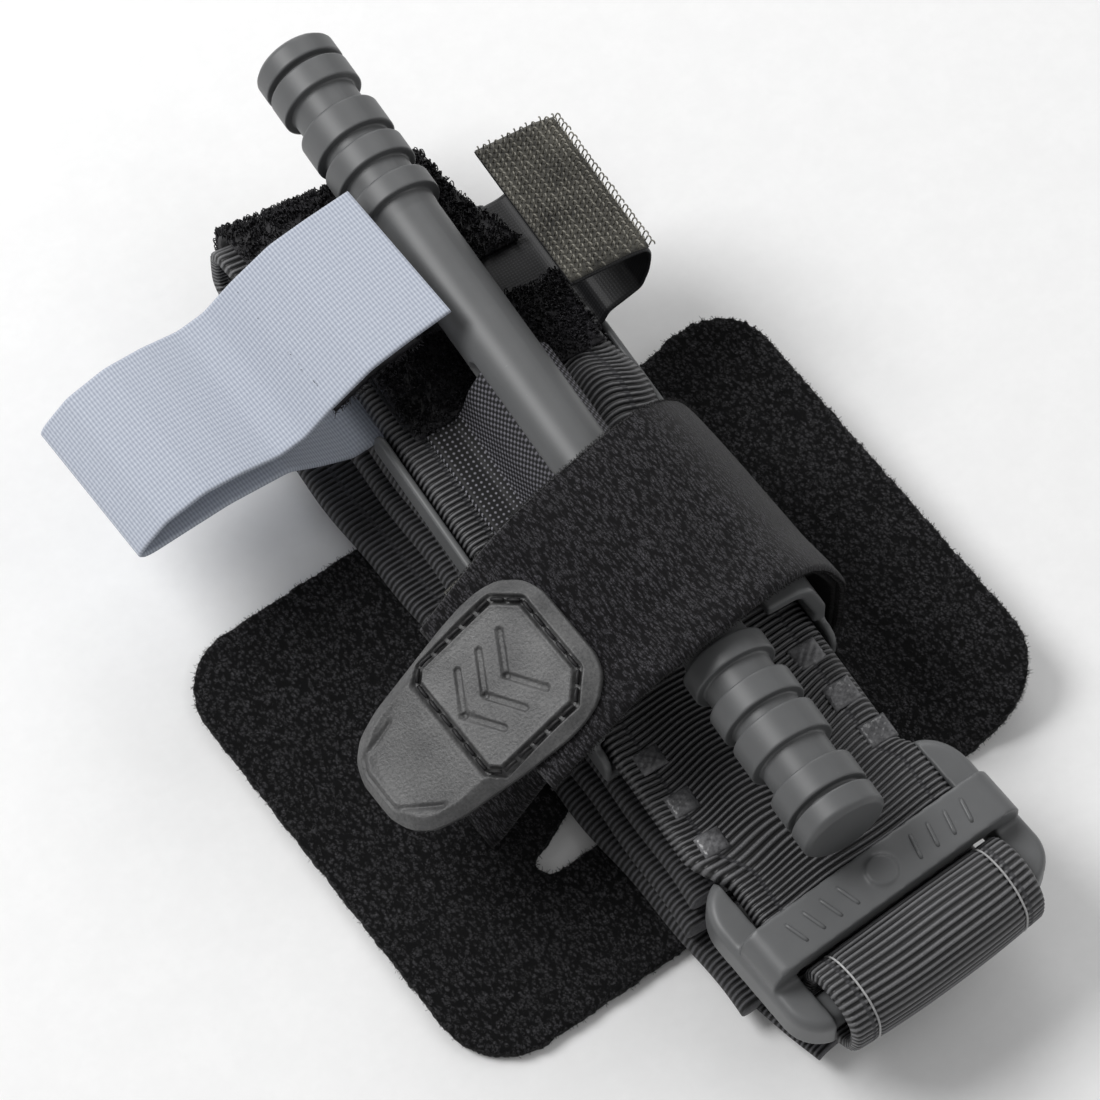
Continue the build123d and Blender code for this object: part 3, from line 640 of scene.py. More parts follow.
def softened(
    node: bpy.types.Object,
    name: str,
    material: bpy.types.Material,
    voxel: float,
    rounds: int,
    fluff: float = 0.0,
    yaw: float = 0.0,
    seed: int = 1,
    reshape: Callable[[np.ndarray], np.ndarray] | None = None,
) -> bpy.types.Object:
    """Copy a solid as an even mesh with its edges eased.

    Args:
        node: The solid to start from.
        name: The new object's name.
        material: The finish.
        voxel: Size of the new mesh's cells, in millimetres.
        rounds: Number of smoothing passes.
        fluff: Height of an uneven surface, in millimetres.
        yaw: Turn of the pattern against the frame, in degrees.
        seed: Seed of the uneven surface.
        reshape: Moves the points afterwards.

    Returns:
        The linked object.
    """
    copy = bpy.data.objects.new(name + "_source", node.data.copy())
    bpy.context.scene.collection.objects.link(copy)
    remesh = copy.modifiers.new("cells", "REMESH")
    remesh.mode = "VOXEL"
    remesh.voxel_size = voxel * MM
    smooth = copy.modifiers.new("ease", "SMOOTH")
    smooth.iterations = rounds
    smooth.factor = 0.5
    graph = bpy.context.evaluated_depsgraph_get()
    mesh = bpy.data.meshes.new_from_object(copy.evaluated_get(graph))
    bpy.data.objects.remove(copy)
    count = len(mesh.vertices)
    places = np.zeros(count * 3)
    mesh.vertices.foreach_get("co", places)
    places = places.reshape(-1, 3) / MM
    if fluff:
        ways = np.zeros(count * 3)
        mesh.vertices.foreach_get("normal", ways)
        push = np.random.default_rng(seed).uniform(-fluff, fluff, (count, 1))
        places = places + push * ways.reshape(-1, 3)
        mesh.vertices.foreach_set("co", (places * MM).ravel())
    if reshape:
        places = reshape(places)
        mesh.vertices.foreach_set("co", (places * MM).ravel())
    flat = turned(places, -yaw)
    weave = np.stack([flat[:, 0], flat[:, 1] + 0.7 * flat[:, 2], flat[:, 2]], 1)
    layer = mesh.attributes.new(WEAVE, "FLOAT_VECTOR", "POINT")
    layer.data.foreach_set("vector", weave.astype(np.float32).ravel())
    mesh.polygons.foreach_set("use_smooth", [True] * len(mesh.polygons))
    mesh.materials.clear()
    mesh.materials.append(material)
    mesh.name = name
    item = bpy.data.objects.new(name, mesh)
    bpy.context.scene.collection.objects.link(item)
    return item


def tufts(
    item: bpy.types.Object,
    name: str,
    count: int,
    length: float,
    radius: float,
    material: bpy.types.Material,
    keep: Callable[[np.ndarray, np.ndarray], np.ndarray],
    seed: int,
    curl: float = 0.5,
) -> bpy.types.Object:
    """Grow short bent fibres from a surface.

    Args:
        item: The object that they grow from.
        name: The new object's name.
        count: Number of fibres.
        length: Longest fibre, in millimetres.
        radius: Radius of a fibre.
        material: The finish.
        keep: Picks the points to grow from, by place and normal.
        seed: Seed of the choice.
        curl: How far a fibre bends over, as a share of its length.

    Returns:
        The linked object.
    """
    rng = np.random.default_rng(seed)
    size = len(item.data.vertices)
    places, ways = np.zeros(size * 3), np.zeros(size * 3)
    item.data.vertices.foreach_get("co", places)
    item.data.vertices.foreach_get("normal", ways)
    places, ways = places.reshape(-1, 3) / MM, ways.reshape(-1, 3)
    pool = np.flatnonzero(keep(places, ways))
    picked = rng.choice(pool, count)
    root, way = places[picked], ways[picked]
    lean = rng.normal(0, 0.45, (count, 3))
    way = way + lean
    way /= np.linalg.norm(way, axis=1, keepdims=True)
    side = rng.normal(0, 1, (count, 3))
    reach = rng.uniform(0.45, 1, (count, 1)) * length
    steps = np.linspace(0, 1, 5)[None, :, None]
    paths = root[:, None] + way[:, None] * (reach[:, None] * steps - 0.1)
    paths = paths + side[:, None] * reach[:, None] * curl * steps ** 2
    return fibres(name, paths, radius, material, sides=3)


# ---------------------------------------------------------------- the finishes in use
Materials = dict[str, bpy.types.Material]

FINISHES: dict[str, Finish] = {
    # Brushed nylon loop scatters light inside its tufts: nearly no mirror light; the tips carry
    # painted highlights and the depths painted shade.
    "pile": Pile(
        "nylon loop fabric, brushed", roughness=0.92, ior=1.53, sheen=0.08, relief=0.5,
        bump=0.9, gloss=0.12, tip_highlight="#6e6d72", clump=0.55, stretch=1.6),
    # The same fabric stretched over the rod: longer tufts that lean one way.
    "strap_pile": Pile(
        "nylon loop fabric, brushed strap", roughness=0.92, ior=1.53, sheen=0.15,
        relief=0.4, bump=0.8, gloss=0.12, deep="#0b0a0c", tip_highlight="#6b6971", clump=0.5,
        slant=0.5, stretch=2.4),
    # Unbrushed knit: dull and darker than the brushed face.
    "lining": Pile(
        "nylon knit, unbrushed", roughness=0.9, ior=1.53, sheen=0.05, relief=0.2, bump=0.6,
        gloss=0.12, deep="#0c0c0d", tip_highlight="#3c3b3f", clump=0.45, stretch=1.2),
    # Grosgrain: the cord ribs shine a little, and the gaps are painted black as shade.
    "webbing": Ribbed(
        "nylon webbing, ribbed weave", roughness=0.45, ior=1.53, sheen=0.0, relief=0.25,
        bump=0.5, gloss=0.5, top="#727274"),
    # The lower runs of the same webbing: duller and darker, as they lie in shade.
    "hidden_web": Ribbed(
        "nylon webbing, ribbed weave, lower runs", roughness=0.66, ior=1.53, sheen=0.1,
        relief=0.25, bump=0.5, gloss=0.35, top="#525255"),
    # Basket weave: light dots where the float yarns cross the dark ones.
    "basket": Woven(
        "nylon band, basket weave", roughness=0.6, ior=1.53, sheen=0.0, relief=0.25,
        bump=0.6, gloss=0.3, light="#8d8c93", low=0.7, high=0.85),
    # Diagonal weave: slanting light floats.
    "twill": Woven(
        "nylon band, diagonal weave", roughness=0.6, ior=1.53, sheen=0.0, relief=0.2,
        bump=0.6, gloss=0.3, dark="#101012", light="#77767d", pitch_along=0.75,
        pitch_across=0.75, twist=0.6, low=-0.4, high=0.8),
    # Tight plain weave: smooth and satin, with hardly any pattern.
    "tape": Woven(
        "polyester tape, plain weave", roughness=0.5, ior=1.54, sheen=0.0, relief=0.05,
        bump=0.35, gloss=0.35, dark="#0f0f11", light="#2b2b2e", pitch_along=0.5,
        pitch_across=0.5),
    # Brushed twill of a writing strip: pale blue grey, fine lines, a soft sheen.
    "pale": Woven(
        "polyester twill, brushed pale", roughness=0.75, ior=1.54, sheen=0.2, relief=0.12,
        bump=0.6, gloss=0.4, dark="#949bab", light="#c9cfda", pitch_along=0.52,
        pitch_across=0.85, cross=0.35, low=-1.5, high=0.65),
    # Glass-filled nylon from an eroded mould: satin grey with a soft highlight.
    "rod": Moulded(
        "glass-filled nylon, moulded", roughness=0.46, ior=1.53, sheen=0.0, relief=0.02,
        bump=0.25, colour="#58595a"),
    # Acetal: a little smoother than the rod, so its highlight is tighter.
    "acetal": Moulded(
        "acetal, moulded", roughness=0.42, ior=1.48, sheen=0.0, relief=0.02, bump=0.3,
        colour="#606162"),
    # Rubber from a mould with a leathery grain: highlights break up and spread.
    "rubber": Grained(
        "rubber, moulded", roughness=0.4, ior=1.52, sheen=0.0, relief=0.14, bump=0.8,
        dark="#39393a", light="#5e5e5e", grain=0.42),
    # Bare nylon hooks: brownish grey, with a glint on each bend.
    "hooks": Grained(
        "nylon hooks, moulded", roughness=0.45, ior=1.53, sheen=0.0, relief=0.08, bump=0.5,
        dark="#55534c", light="#8b887e", grain=0.5),
    # Woven ground between the hooks: dark and dull.
    "hook_base": Grained(
        "nylon hook tape, woven ground", roughness=0.7, ior=1.53, sheen=0.0, relief=0.12,
        bump=0.6, dark="#2f2e2b", light="#5d5b54", grain=0.5),
    # Coarse unnapped loops: black, with a small glint on each.
    "loops": Grained(
        "nylon loops, unnapped", roughness=0.5, ior=1.53, sheen=0.0, relief=0.05, bump=0.3,
        gloss=0.3, dark="#070708", light="#302f33", grain=0.6),
    # Bonded thread: nearly black and satin.
    "thread": Grained(
        "bonded polyester thread", roughness=0.5, ior=1.54, sheen=0.0, relief=0.05,
        bump=0.4, gloss=0.3, dark="#070708", light="#1d1c1e", grain=0.3),
    # Light grey thread: stands out against the webbing.
    "light_thread": Grained(
        "polyester thread, light grey", roughness=0.5, ior=1.54, sheen=0.0, relief=0.05,
        bump=0.3, dark="#8d8d8e", light="#c0c0c0", grain=0.3),
    # Webbing melted by a sonic horn: glossy and paler than the ribs.
    "weld": Grained(
        "nylon webbing, sonic weld", roughness=0.28, ior=1.53, sheen=0.0, relief=0.1,
        bump=0.5, dark="#3c3c3e", light="#7b7b7d", grain=0.7),
}


def dress(
    item: bpy.types.Object,
    body: Body | None = None,
    nodes: Sequence[str] = (),
) -> bpy.types.Object:
    """Hand a piece over to the frame.

    Args:
        item: The piece.
        body: The body that it rides on, if it isn't blended.
        nodes: Solids that it stands for.

    Returns:
        The piece.
    """
    if body is not None:
        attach(item, body.value)
    if nodes:
        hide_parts(*nodes)
    LOG.info("%s: %d faces", item.name, len(item.data.polygons))
    return item


# ---------------------------------------------------------------- carrier
CARRIER_YAW = 4.4


@dataclass
class Carrier:
    """The loop-faced panel, its tongue and the strap that closes over the rod."""

    finishes: Materials
    nodes: dict
    strap_top: Points = (
        (20.5, 4.2), (29.2, 4.2), (31.9, 5.6), (32.0, 13.0), (31.7, 20.5), (29.5, 25.8),
        (27.0, 31.0), (23.4, 35.6), (18.6, 38.6), (11.5, 39.5), (5.5, 39.7), (-1.0, 39.4),
        (-4.4, 38.8), (-9.7, 37.6), (-25.4, 29.2),
    )
    face_t: float = 1.2
    lining_t: float = 0.9
    ply_gap: float = 0.1
    width: Stations = ((0.0, 36.0), (0.6, 36.0), (1.0, 32.4))
    mid: Stations = ((0.0, 3.0), (0.35, 2.4), (0.6, 0.0), (0.85, -2.2), (1.0, -3.6))
    tongue: Points = ((-30.4, 2.9), (-28.8, 3.3), (-18.8, 15.0), (-17.2, 28.8), (-12.4, 31.6))

    def build(self) -> None:
        """Build every piece of the carrier."""
        self.build_panel()
        self.build_strap()
        self.build_tongue()
        patch = self.nodes["strap_hook_patch"]
        patch.data.materials.clear()
        patch.data.materials.append(self.finishes["hook_base"])

    def build_panel(self) -> None:
        """Make the panel's uneven pile and the fibres along its cut edge."""
        panel = softened(self.nodes["carrier_panel"], "carrier_panel_pile",
                         self.finishes["pile"], 0.6, 3, 0.16, CARRIER_YAW, 3)

        def rim(places: np.ndarray, ways: np.ndarray) -> np.ndarray:
            """The upper edge of the cut."""
            return (np.abs(ways[:, 2]) < 0.8) & (places[:, 2] > 0.9)

        fuzz = tufts(panel, "carrier_panel_fuzz", 8000, 0.42, 0.03, self.finishes["pile"],
                     rim, 11)
        dress(panel, Body.BASE, ["carrier_panel"])
        dress(fuzz, Body.BASE)

    def strap_ply(self, name: str, depth: float, thickness: float, inset: float,
                  material: bpy.types.Material) -> bpy.types.Object:
        """Build one ply of the strap.

        Args:
            name: The piece's name.
            depth: Distance of the ply's middle under the strap's outer face.
            thickness: The ply's thickness.
            inset: How much narrower the ply is on each side.
            material: The finish.

        Returns:
            The ply.
        """
        width = tuple((share, value - 2 * inset) for share, value in self.width)
        line = Line(self.strap_top, 2.4, depth)
        return Ribbon(name, line, Across.Y, width, thickness, self.mid, CARRIER_YAW,
                      cells=60, step=0.55, warp=self.strap_waves).build(material)

    @staticmethod
    def strap_waves(points: np.ndarray, s: np.ndarray, v: np.ndarray) -> np.ndarray:
        """Let the strap's edges dip a little, and lift its near edge clear of the rod's rings."""
        lift = 0.35 * np.sin(s * 0.16 + 1.0) * (v / 17) ** 2 - 0.5 * (v / 17) ** 4
        lift = np.where(v < 0, 0.2 * lift, lift) + 1.5 * ease_in(-v, 7, 17)
        points[..., 2] += lift * ease_in(points[..., 2], 6, 20)
        return points

    def build_strap(self) -> None:
        """Build both plies, with fibres where the pile shows at the edges."""
        face = self.strap_ply("carrier_strap_face", self.face_t / 2, self.face_t, 0.0,
                              self.finishes["strap_pile"])
        depth = self.face_t + self.ply_gap + self.lining_t / 2
        lining = self.strap_ply("carrier_strap_inner", depth, self.lining_t, 0.7,
                                self.finishes["lining"])
        crease = turned(np.array([[30.6, 0.0, 4.6], [30.6, 0.0, 8.5]]), CARRIER_YAW) * MM

        def rim(places: np.ndarray, ways: np.ndarray) -> np.ndarray:
            """Both long edges and the free end, above the panel."""
            return (np.abs(ways[:, 1]) > 0.5) & (places[:, 2] > 8)

        fuzz = tufts(face, "carrier_strap_fuzz", 6500, 0.4, 0.025, self.finishes["strap_pile"],
                     rim, 12)
        for ply, node in ((face, "carrier_strap"), (lining, "carrier_strap_lining")):
            dress(ply, None, [node])
            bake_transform(ply)
        dress(fuzz)
        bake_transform(fuzz)

    def build_tongue(self) -> None:
        """Build the inner tongue, which bends at its seam on the panel."""
        tongue = Ribbon("carrier_tongue_flap", Line(self.tongue, 1.2), Across.Y, 27.0, 1.4,
                        1.5, CARRIER_YAW, cells=50, step=0.7).build(self.finishes["strap_pile"])
        dress(tongue, None, ["carrier_tongue"])
        crease = turned(np.array([[-30.5, 0.0, 2.8], [-27.0, 0.0, 6.5]]), CARRIER_YAW) * MM
        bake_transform(tongue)


# ---------------------------------------------------------------- pull tab
@dataclass
class PullTab:
    """The moulded rubber tab, with its sewn octagon, rim and finger grip."""

    finishes: Materials
    sewn_end: tuple[float, float] = (-9.74, 37.66)     # on the strap's outer face, in X and Z
    slope: float = 0.53
    mid_y: float = -3.3
    thickness: float = 3.2
    outline: Points = (
        (0.0, 0.0), (0.0, 6.4), (1.1, 9.3), (4.0, 11.9), (7.0, 12.8), (10.5, 13.0),
        (15.0, 12.6), (21.0, 11.7), (30.0, 10.3), (34.2, 8.9), (36.8, 6.6), (38.0, 3.4),
        (38.0, 0.0),
    )
    octagon: Points = (
        (6.5, 10.3), (20.7, 10.3), (22.5, 8.5), (22.5, -8.5), (20.7, -10.3), (6.5, -10.3),
        (2.9, -6.7), (2.9, 6.7),
    )
    groove: float = 0.75           # half the groove's width
    groove_depth: float = 1.0
    centre: tuple[float, float] = (17.0, 0.0)
    rings: int = 90
    spokes: int = 300
    chevrons: tuple[float, ...] = (8.2, 12.4, 16.6)
    stitch_pitch: float = 2.9

    def edge_distance(self, spots: np.ndarray, corners: Points) -> np.ndarray:
        """Distance from each spot to a closed outline."""
        corners = np.array(corners, float)
        best = np.full(len(spots), 1e9)
        for a, b in zip(corners, np.roll(corners, -1, 0)):
            way = b - a
            share = np.clip((spots - a) @ way / (way @ way), 0, 1)
            best = np.minimum(best, np.linalg.norm(spots - a - share[:, None] * way, axis=1))
        return best

    def full_outline(self) -> np.ndarray:
        """The smooth outline, as the radius for each spoke's angle."""
        half = np.array(self.outline, float)
        whole = np.vstack([half, half[-2:0:-1] * [1, -1]])
        lengths = np.r_[0, np.cumsum(np.linalg.norm(np.diff(
            np.vstack([whole, whole[:1]]), axis=0), axis=1))]
        even = np.linspace(0, lengths[-1], 1600, endpoint=False)
        closed = np.vstack([whole, whole[:1]])
        path = np.stack([np.interp(even, lengths, closed[:, k]) for k in (0, 1)], 1)
        window = np.exp(-(np.arange(-40, 41) / 16.0) ** 2)
        window /= window.sum()
        wrapped = np.vstack([path[-40:], path, path[:40]])
        path = np.stack([np.convolve(wrapped[:, k], window, "valid") for k in (0, 1)], 1)
        spokes = path - self.centre
        angle = np.arctan2(spokes[:, 1], spokes[:, 0])
        order = np.argsort(angle)
        turns = np.linspace(-math.pi, math.pi, self.spokes, endpoint=False)
        radius = np.interp(turns, angle[order], np.linalg.norm(spokes, axis=1)[order],
                           period=2 * math.pi)
        return np.stack([turns, radius], 1)

    def height(self, spots: np.ndarray, rim: np.ndarray) -> np.ndarray:
        """Height of the tab's face.

        Args:
            spots: Places in the tab's own plane.
            rim: Distance of each spot from the outline.

        Returns:
            Height over the strap's face.
        """
        u, v = spots[:, 0], spots[:, 1]
        top = self.thickness - 1.5 * (1 - ease_in(rim, -0.3, 2.3))
        sewn = self.edge_distance(spots, self.octagon)
        inside = (np.abs(v) < 10.3) & (u > 2.9) & (u < 22.5)
        inside &= (u - 2.9) + (10.3 - np.abs(v)) > 3.6
        top -= np.where(inside, 0.25 * ease_in(sewn, 0.0, 1.6), 0.0)
        top -= self.groove_depth * (1 - ease_in(sewn, self.groove * 0.55, self.groove * 1.25))
        grip = ease_in(u, 23.5, 33.0)
        top -= 0.75 * grip * ease_in(rim, 0.6, 3.6)
        ledge = np.minimum.reduce([
            self.segment(spots, (29.0, 7.2), (35.3, 6.0)),
            self.segment(spots, (35.3, 6.0), (36.4, 3.9)),
            self.segment(spots, (36.4, 3.9), (36.4, -3.0)),
            self.segment(spots, (36.4, -3.0), (30.5, -7.6)),
        ])
        top -= 0.35 * (1 - ease_in(ledge, 0.1, 0.5))
        for start in self.chevrons:
            for sign in (-1, 1):
                arm = self.segment(spots, (start + 3.4, 0.0), (start, 5.6 * sign))
                top -= 0.4 * (1 - ease_in(arm, 0.35, 0.65))
        return top

    @staticmethod
    def segment(spots: np.ndarray, a: tuple, b: tuple) -> np.ndarray:
        """Distance from each spot to one straight stretch."""
        a, b = np.array(a, float), np.array(b, float)
        way = b - a
        share = np.clip((spots - a) @ way / (way @ way), 0, 1)
        return np.linalg.norm(spots - a - share[:, None] * way, axis=1)

    def placed(self, local: np.ndarray) -> np.ndarray:
        """Move (along, across, height) rows on to the strap's sloping end."""
        norm = math.hypot(1, self.slope)
        way = np.array([-1 / norm, 0, -self.slope / norm])
        up = np.array([-self.slope / norm, 0, 1 / norm])
        origin = np.array([self.sewn_end[0], self.mid_y, self.sewn_end[1]])
        side = np.array([0.0, 1.0, 0.0])
        rows = origin + local[:, :1] * way + local[:, 1:2] * side + local[:, 2:] * up
        return turned(rows, CARRIER_YAW)

    def build(self) -> None:
        """Build the tab and its stitches."""
        table = self.full_outline()
        share = np.linspace(0.02, 1, self.rings) ** 0.8
        turn, radius = table[:, 0], table[:, 1]
        reach = share[:, None] * radius[None]
        spots = np.stack([
            self.centre[0] + reach * np.cos(turn), self.centre[1] + reach * np.sin(turn)], -1)
        rim = (radius[None] - reach) * 0.93
        top = self.height(spots.reshape(-1, 2), rim.ravel()).reshape(rim.shape)
        upper = np.concatenate([spots, top[..., None]], -1)
        wall = upper[-1:] * [1, 1, 0] + [0, 0, 0.35]
        base = spots[[-1, 0]].copy()
        under = np.concatenate([
            self.centre + (base[:1] - self.centre) * 0.985, np.full((1, self.spokes, 1), 0.1)], -1)
        rings = np.concatenate([upper, wall, under], 0)
        rings = self.placed(rings.reshape(-1, 3)).reshape(rings.shape)
        fixed = rings if self.is_outward(rings) else rings[:, ::-1]
        tab = make_object("pull_tab_rubber", fixed.reshape(-1, 3),
                          ring_faces(*fixed.shape[:2]), self.finishes["rubber"])
        dress(tab, Body.LID, ["pull_tab"])
        self.build_stitches()

    @staticmethod
    def is_outward(rings: np.ndarray) -> bool:
        """Whether the face rings of the tab wind so that normals point up."""
        a, b, c = rings[40, 0], rings[40, 1], rings[41, 0]
        normal = np.cross(b - a, c - a)
        return normal[2] > 0

    def build_stitches(self) -> None:
        """Lay one bent stitch of thread after another along the octagon."""
        corners = np.array(self.octagon, float)
        level = self.thickness - self.groove_depth + 0.32
        paths = []
        for a, b in zip(corners, np.roll(corners, -1, 0)):
            span = np.linalg.norm(b - a)
            count = max(1, round(span / self.stitch_pitch))
            for k in range(count):
                shares = (k + 0.12 + 0.76 * np.linspace(0, 1, 9)) / count
                spots = a + (b - a) * shares[:, None]
                rise = level + 0.22 * np.sin(np.linspace(0, math.pi, 9))
                paths.append(np.column_stack([spots, rise]))
        rows = self.placed(np.array(paths).reshape(-1, 3)).reshape(len(paths), 9, 3)
        stitches = fibres("pull_tab_stitches", rows, 0.3, self.finishes["thread"], sides=8)
        dress(stitches, Body.LID, ["pull_tab_thread"])


# ---------------------------------------------------------------- band
FAR_SHIFT = 6.0                    # the band's far end lies this far to the left
FAR_SKEW = 0.117                   # slope of its far turn


def far_bend(points: np.ndarray) -> np.ndarray:
    """Lead the band's far end to the left and turn its fold a little."""
    share = ease_in(points[..., 1], 52, 84)
    points[..., 0] -= FAR_SHIFT * share
    points[..., 1] -= FAR_SKEW * (points[..., 0] - 1.65) * ease_in(points[..., 1], 60, 86)
    return points


@dataclass(frozen=True)
class Swell:
    """A rise or a dip in the band's face, in millimetres."""

    x: float
    y: float
    reach_x: float
    reach_y: float
    height: float

    def lift(self, x: np.ndarray, y: np.ndarray) -> np.ndarray:
        """Height that it adds at each place."""
        return self.height * hump(x, self.x, self.reach_x) * hump(y, self.y, self.reach_y)


@dataclass
class Band:
    """The folded sleeve of ribbed webbing: its runs, its turn, its loose end."""

    finishes: Materials
    pitch: float = 0.95            # rib spacing
    depth: float = 0.34            # drawn a little deeper than real, so that it shows
    width: float = 37.0
    sleeve: float = 3.7
    seam: float = 4.1
    low_y: tuple[float, float] = (-55.0, 78.0)
    mid_y: tuple[float, float] = (-43.0, 78.5)
    high_y: tuple[float, float] = (-41.0, 75.5)
    turn_y: float = 79.5
    turn_t: float = 1.9
    welds: tuple[tuple[float, float, float], ...] = (
        (-6.5, -20.7, 4.2), (-6.3, -28.9, 4.2), (-6.1, -36.5, 4.2),
        (22.0, -18.7, 4.6), (22.8, -26.5, 4.6), (23.8, -34.3, 4.6),
    )

    swells: tuple[Swell, ...] = (
        Swell(22.6, 34.0, 3.6, 6.5, 3.3),          # the pucker right of the inner band
        Swell(-4.0, 36.0, 5.0, 6.0, 0.8),          # a lower one left of it
        Swell(0.5, -28.0, 4.0, 9.0, -0.55),        # the hollow between the welds
    )

    def run(self, name: str, y: tuple[float, float], z: float, x: Stations, yaw: float,
            warp: Warp | None, seed: float, node: str, material: bpy.types.Material,
            width: Stations | None = None, thickness: float | None = None) -> None:
        """Build one straight run.

        Args:
            name: The piece's name.
            y: Where it starts and ends.
            z: Height of its middle.
            x: Its middle line.
            yaw: Turn about the frame's origin, in degrees.
            warp: Its waves, if it has any.
            seed: Phase of its rib pattern.
            node: The solid that it stands for.
            material: The finish.
            width: Its width, if it isn't the band's.
            thickness: Its thickness, if it isn't the sleeve's.
        """
        line = Line(((y[0], z), (y[1], z)), 0.2)
        ribbon = Ribbon(name, line, Across.X, width or self.width, thickness or self.sleeve,
                        x, yaw, cells=64, rib_pitch=self.pitch, rib_depth=self.depth,
                        seam=self.seam, ripple=0.12, seed=seed, warp=warp)
        dress(ribbon.build(material), Body.BASE, [node])

    @staticmethod
    def fold_waves(points: np.ndarray, s: np.ndarray, v: np.ndarray) -> np.ndarray:
        """Slow waves in the edges of a hidden run."""
        points[..., 0] += 0.35 * np.sin(s * 0.11 + 0.4) + 0.2 * np.sin(s * 0.29)
        points[..., 2] += 0.12 * np.sin(s * 0.23 + v * 0.2) * (np.abs(v) / 18) ** 2
        return points

    @staticmethod
    def tail_waves(points: np.ndarray, s: np.ndarray, v: np.ndarray) -> np.ndarray:
        """Crumple the loose ply under the buckle."""
        points[..., 2] += 0.7 * np.sin(v * 0.42 + s * 0.25) * ease_in(-s, -13, -2)
        points[..., 2] += 0.9 * (1 + np.sin(v * 0.23 + 1.0)) * ease_in(-s, -9, 0)
        points[..., 1] += 1.8 * np.cos(v * 0.17 + 0.6) * ease_in(-s, -8, 0)
        return points

    def top_waves(self, points: np.ndarray, s: np.ndarray, v: np.ndarray) -> np.ndarray:
        """Pucker the top run beside the inner band and round the welds."""
        x, y = points[..., 0].copy(), points[..., 1].copy()
        upper = ease_in(points[..., 2], 16.5, 18.5)
        lift = sum(swell.lift(x, y) for swell in self.swells)
        wave = 0.35 * np.sin(y * 0.45 + 0.25 * x)
        lift = lift + wave * hump(x, 18.5, 6.0) * hump(y, -26.0, 14.0)
        for weld_x, weld_y, _ in self.welds:
            lift += Swell(weld_x, weld_y, 2.6, 2.6, -0.35).lift(x, y)
        points[..., 2] += lift * upper
        points[..., 1] += 1.1 * np.sin(0.30 * x + 0.6) * hump(y, -27.0, 14.0) * upper
        points[..., 1] += 1.6 * np.sin(0.55 * (x - 16)) * hump(y, 35.0, 9.0) * hump(x, 22, 6)
        points[..., 0] += 1.3 * hump(y, 34.0, 7.0) * ease_in(x, 18, 26)
        near = ease_in(-y, 36, 42)
        points[..., 0] += near * (2.9 + (x - 7.6) * -0.03)
        points[..., 1] += near * (x - 10.5) * 0.096
        return far_bend(points)

    def build(self) -> None:
        """Build every run, the turn, the loose end and the welds."""
        lower = self.finishes["hidden_web"]
        self.run("band_lowest_run", self.low_y, 4.0, 0.9, CARRIER_YAW, self.fold_waves, 0.3,
                 "band_low_fold", lower)
        self.run("band_second_run", self.mid_y, 7.9, 4.0, 0.0, self.fold_waves, 1.7,
                 "band_mid_fold", lower)
        self.run("band_third_run", self.high_y, 11.8, 6.0, 0.0, self.fold_waves, 2.9,
                 "band_high_fold", lower)
        self.run("band_loose_end", (-67.6, -53.5), 2.9, ((0.0, -2.6), (1.0, 0.0)), CARRIER_YAW,
                 self.tail_waves, 0.9, "band_tail", lower, ((0.0, 20.0), (1.0, 30.0)), 1.3)
        self.run("band_upper_run", (-56.4, self.turn_y), 17.4, 7.6, 0.0, self.top_waves, 0.0,
                 "band_top_run", self.finishes["webbing"])
        self.build_turn()
        self.build_welds()

    def build_turn(self) -> None:
        """Build the far turn, which goes down and back under the stack."""
        upper, lower = 19.2 - self.turn_t / 2, 6.1 + self.turn_t / 2
        far = self.turn_y + (upper - lower) / 2
        points = ((self.turn_y - 1.5, upper), (far - 2.2, upper), (far, upper - 2.2),
                  (far, lower + 2.2), (far - 2.2, lower), (self.turn_y - 1.5, lower))
        turn = Ribbon("band_far_roll", Line(points, 1.6), Across.X, self.width, self.turn_t,
                      7.6, cells=64, rib_pitch=self.pitch, rib_depth=self.depth,
                      warp=lambda points, s, v: far_bend(points))
        dress(turn.build(self.finishes["webbing"]), Body.BASE, ["band_far_turn"])

    def build_welds(self) -> None:
        """Press a waffle of small squares into the top run at each sonic weld."""
        rows, faces = [], []
        cells = 13
        grid = np.linspace(-1, 1, cells)
        a, b = np.meshgrid(grid, grid, indexing="ij")
        for x, y, size in self.welds:
            fade = (1 - a ** 6) * (1 - b ** 6)
            waffle = 0.18 * np.cos(a * 3 * math.pi) * np.cos(b * 3 * math.pi)
            z = 19.15 + fade * (0.38 + waffle)
            top = np.stack([x + a * size / 2, y + b * size * 0.45, z], -1).reshape(-1, 3)
            start = sum(len(r) for r in rows)
            index = np.arange(cells * cells).reshape(cells, cells) + start
            quads = np.stack([index[:-1, :-1], index[1:, :-1], index[1:, 1:], index[:-1, 1:]], -1)
            border = np.r_[index[:-1, 0], index[-1, :-1], index[:0:-1, -1], index[0, :0:-1]]
            skirt = start + cells * cells + np.arange(len(border))
            low = top[border - start] * [1, 1, 0] + [0, 0, 18.6]
            rows += [top, low]
            faces += quads.reshape(-1, 4).tolist()
            nxt = np.roll(np.arange(len(border)), -1)
            faces += np.stack([border[nxt], border, skirt, skirt[nxt]], -1).tolist()
            faces.append(skirt.tolist()[::-1])
        item = make_object("band_welds", np.vstack(rows), faces, self.finishes["weld"])
        dress(item, Body.BASE)


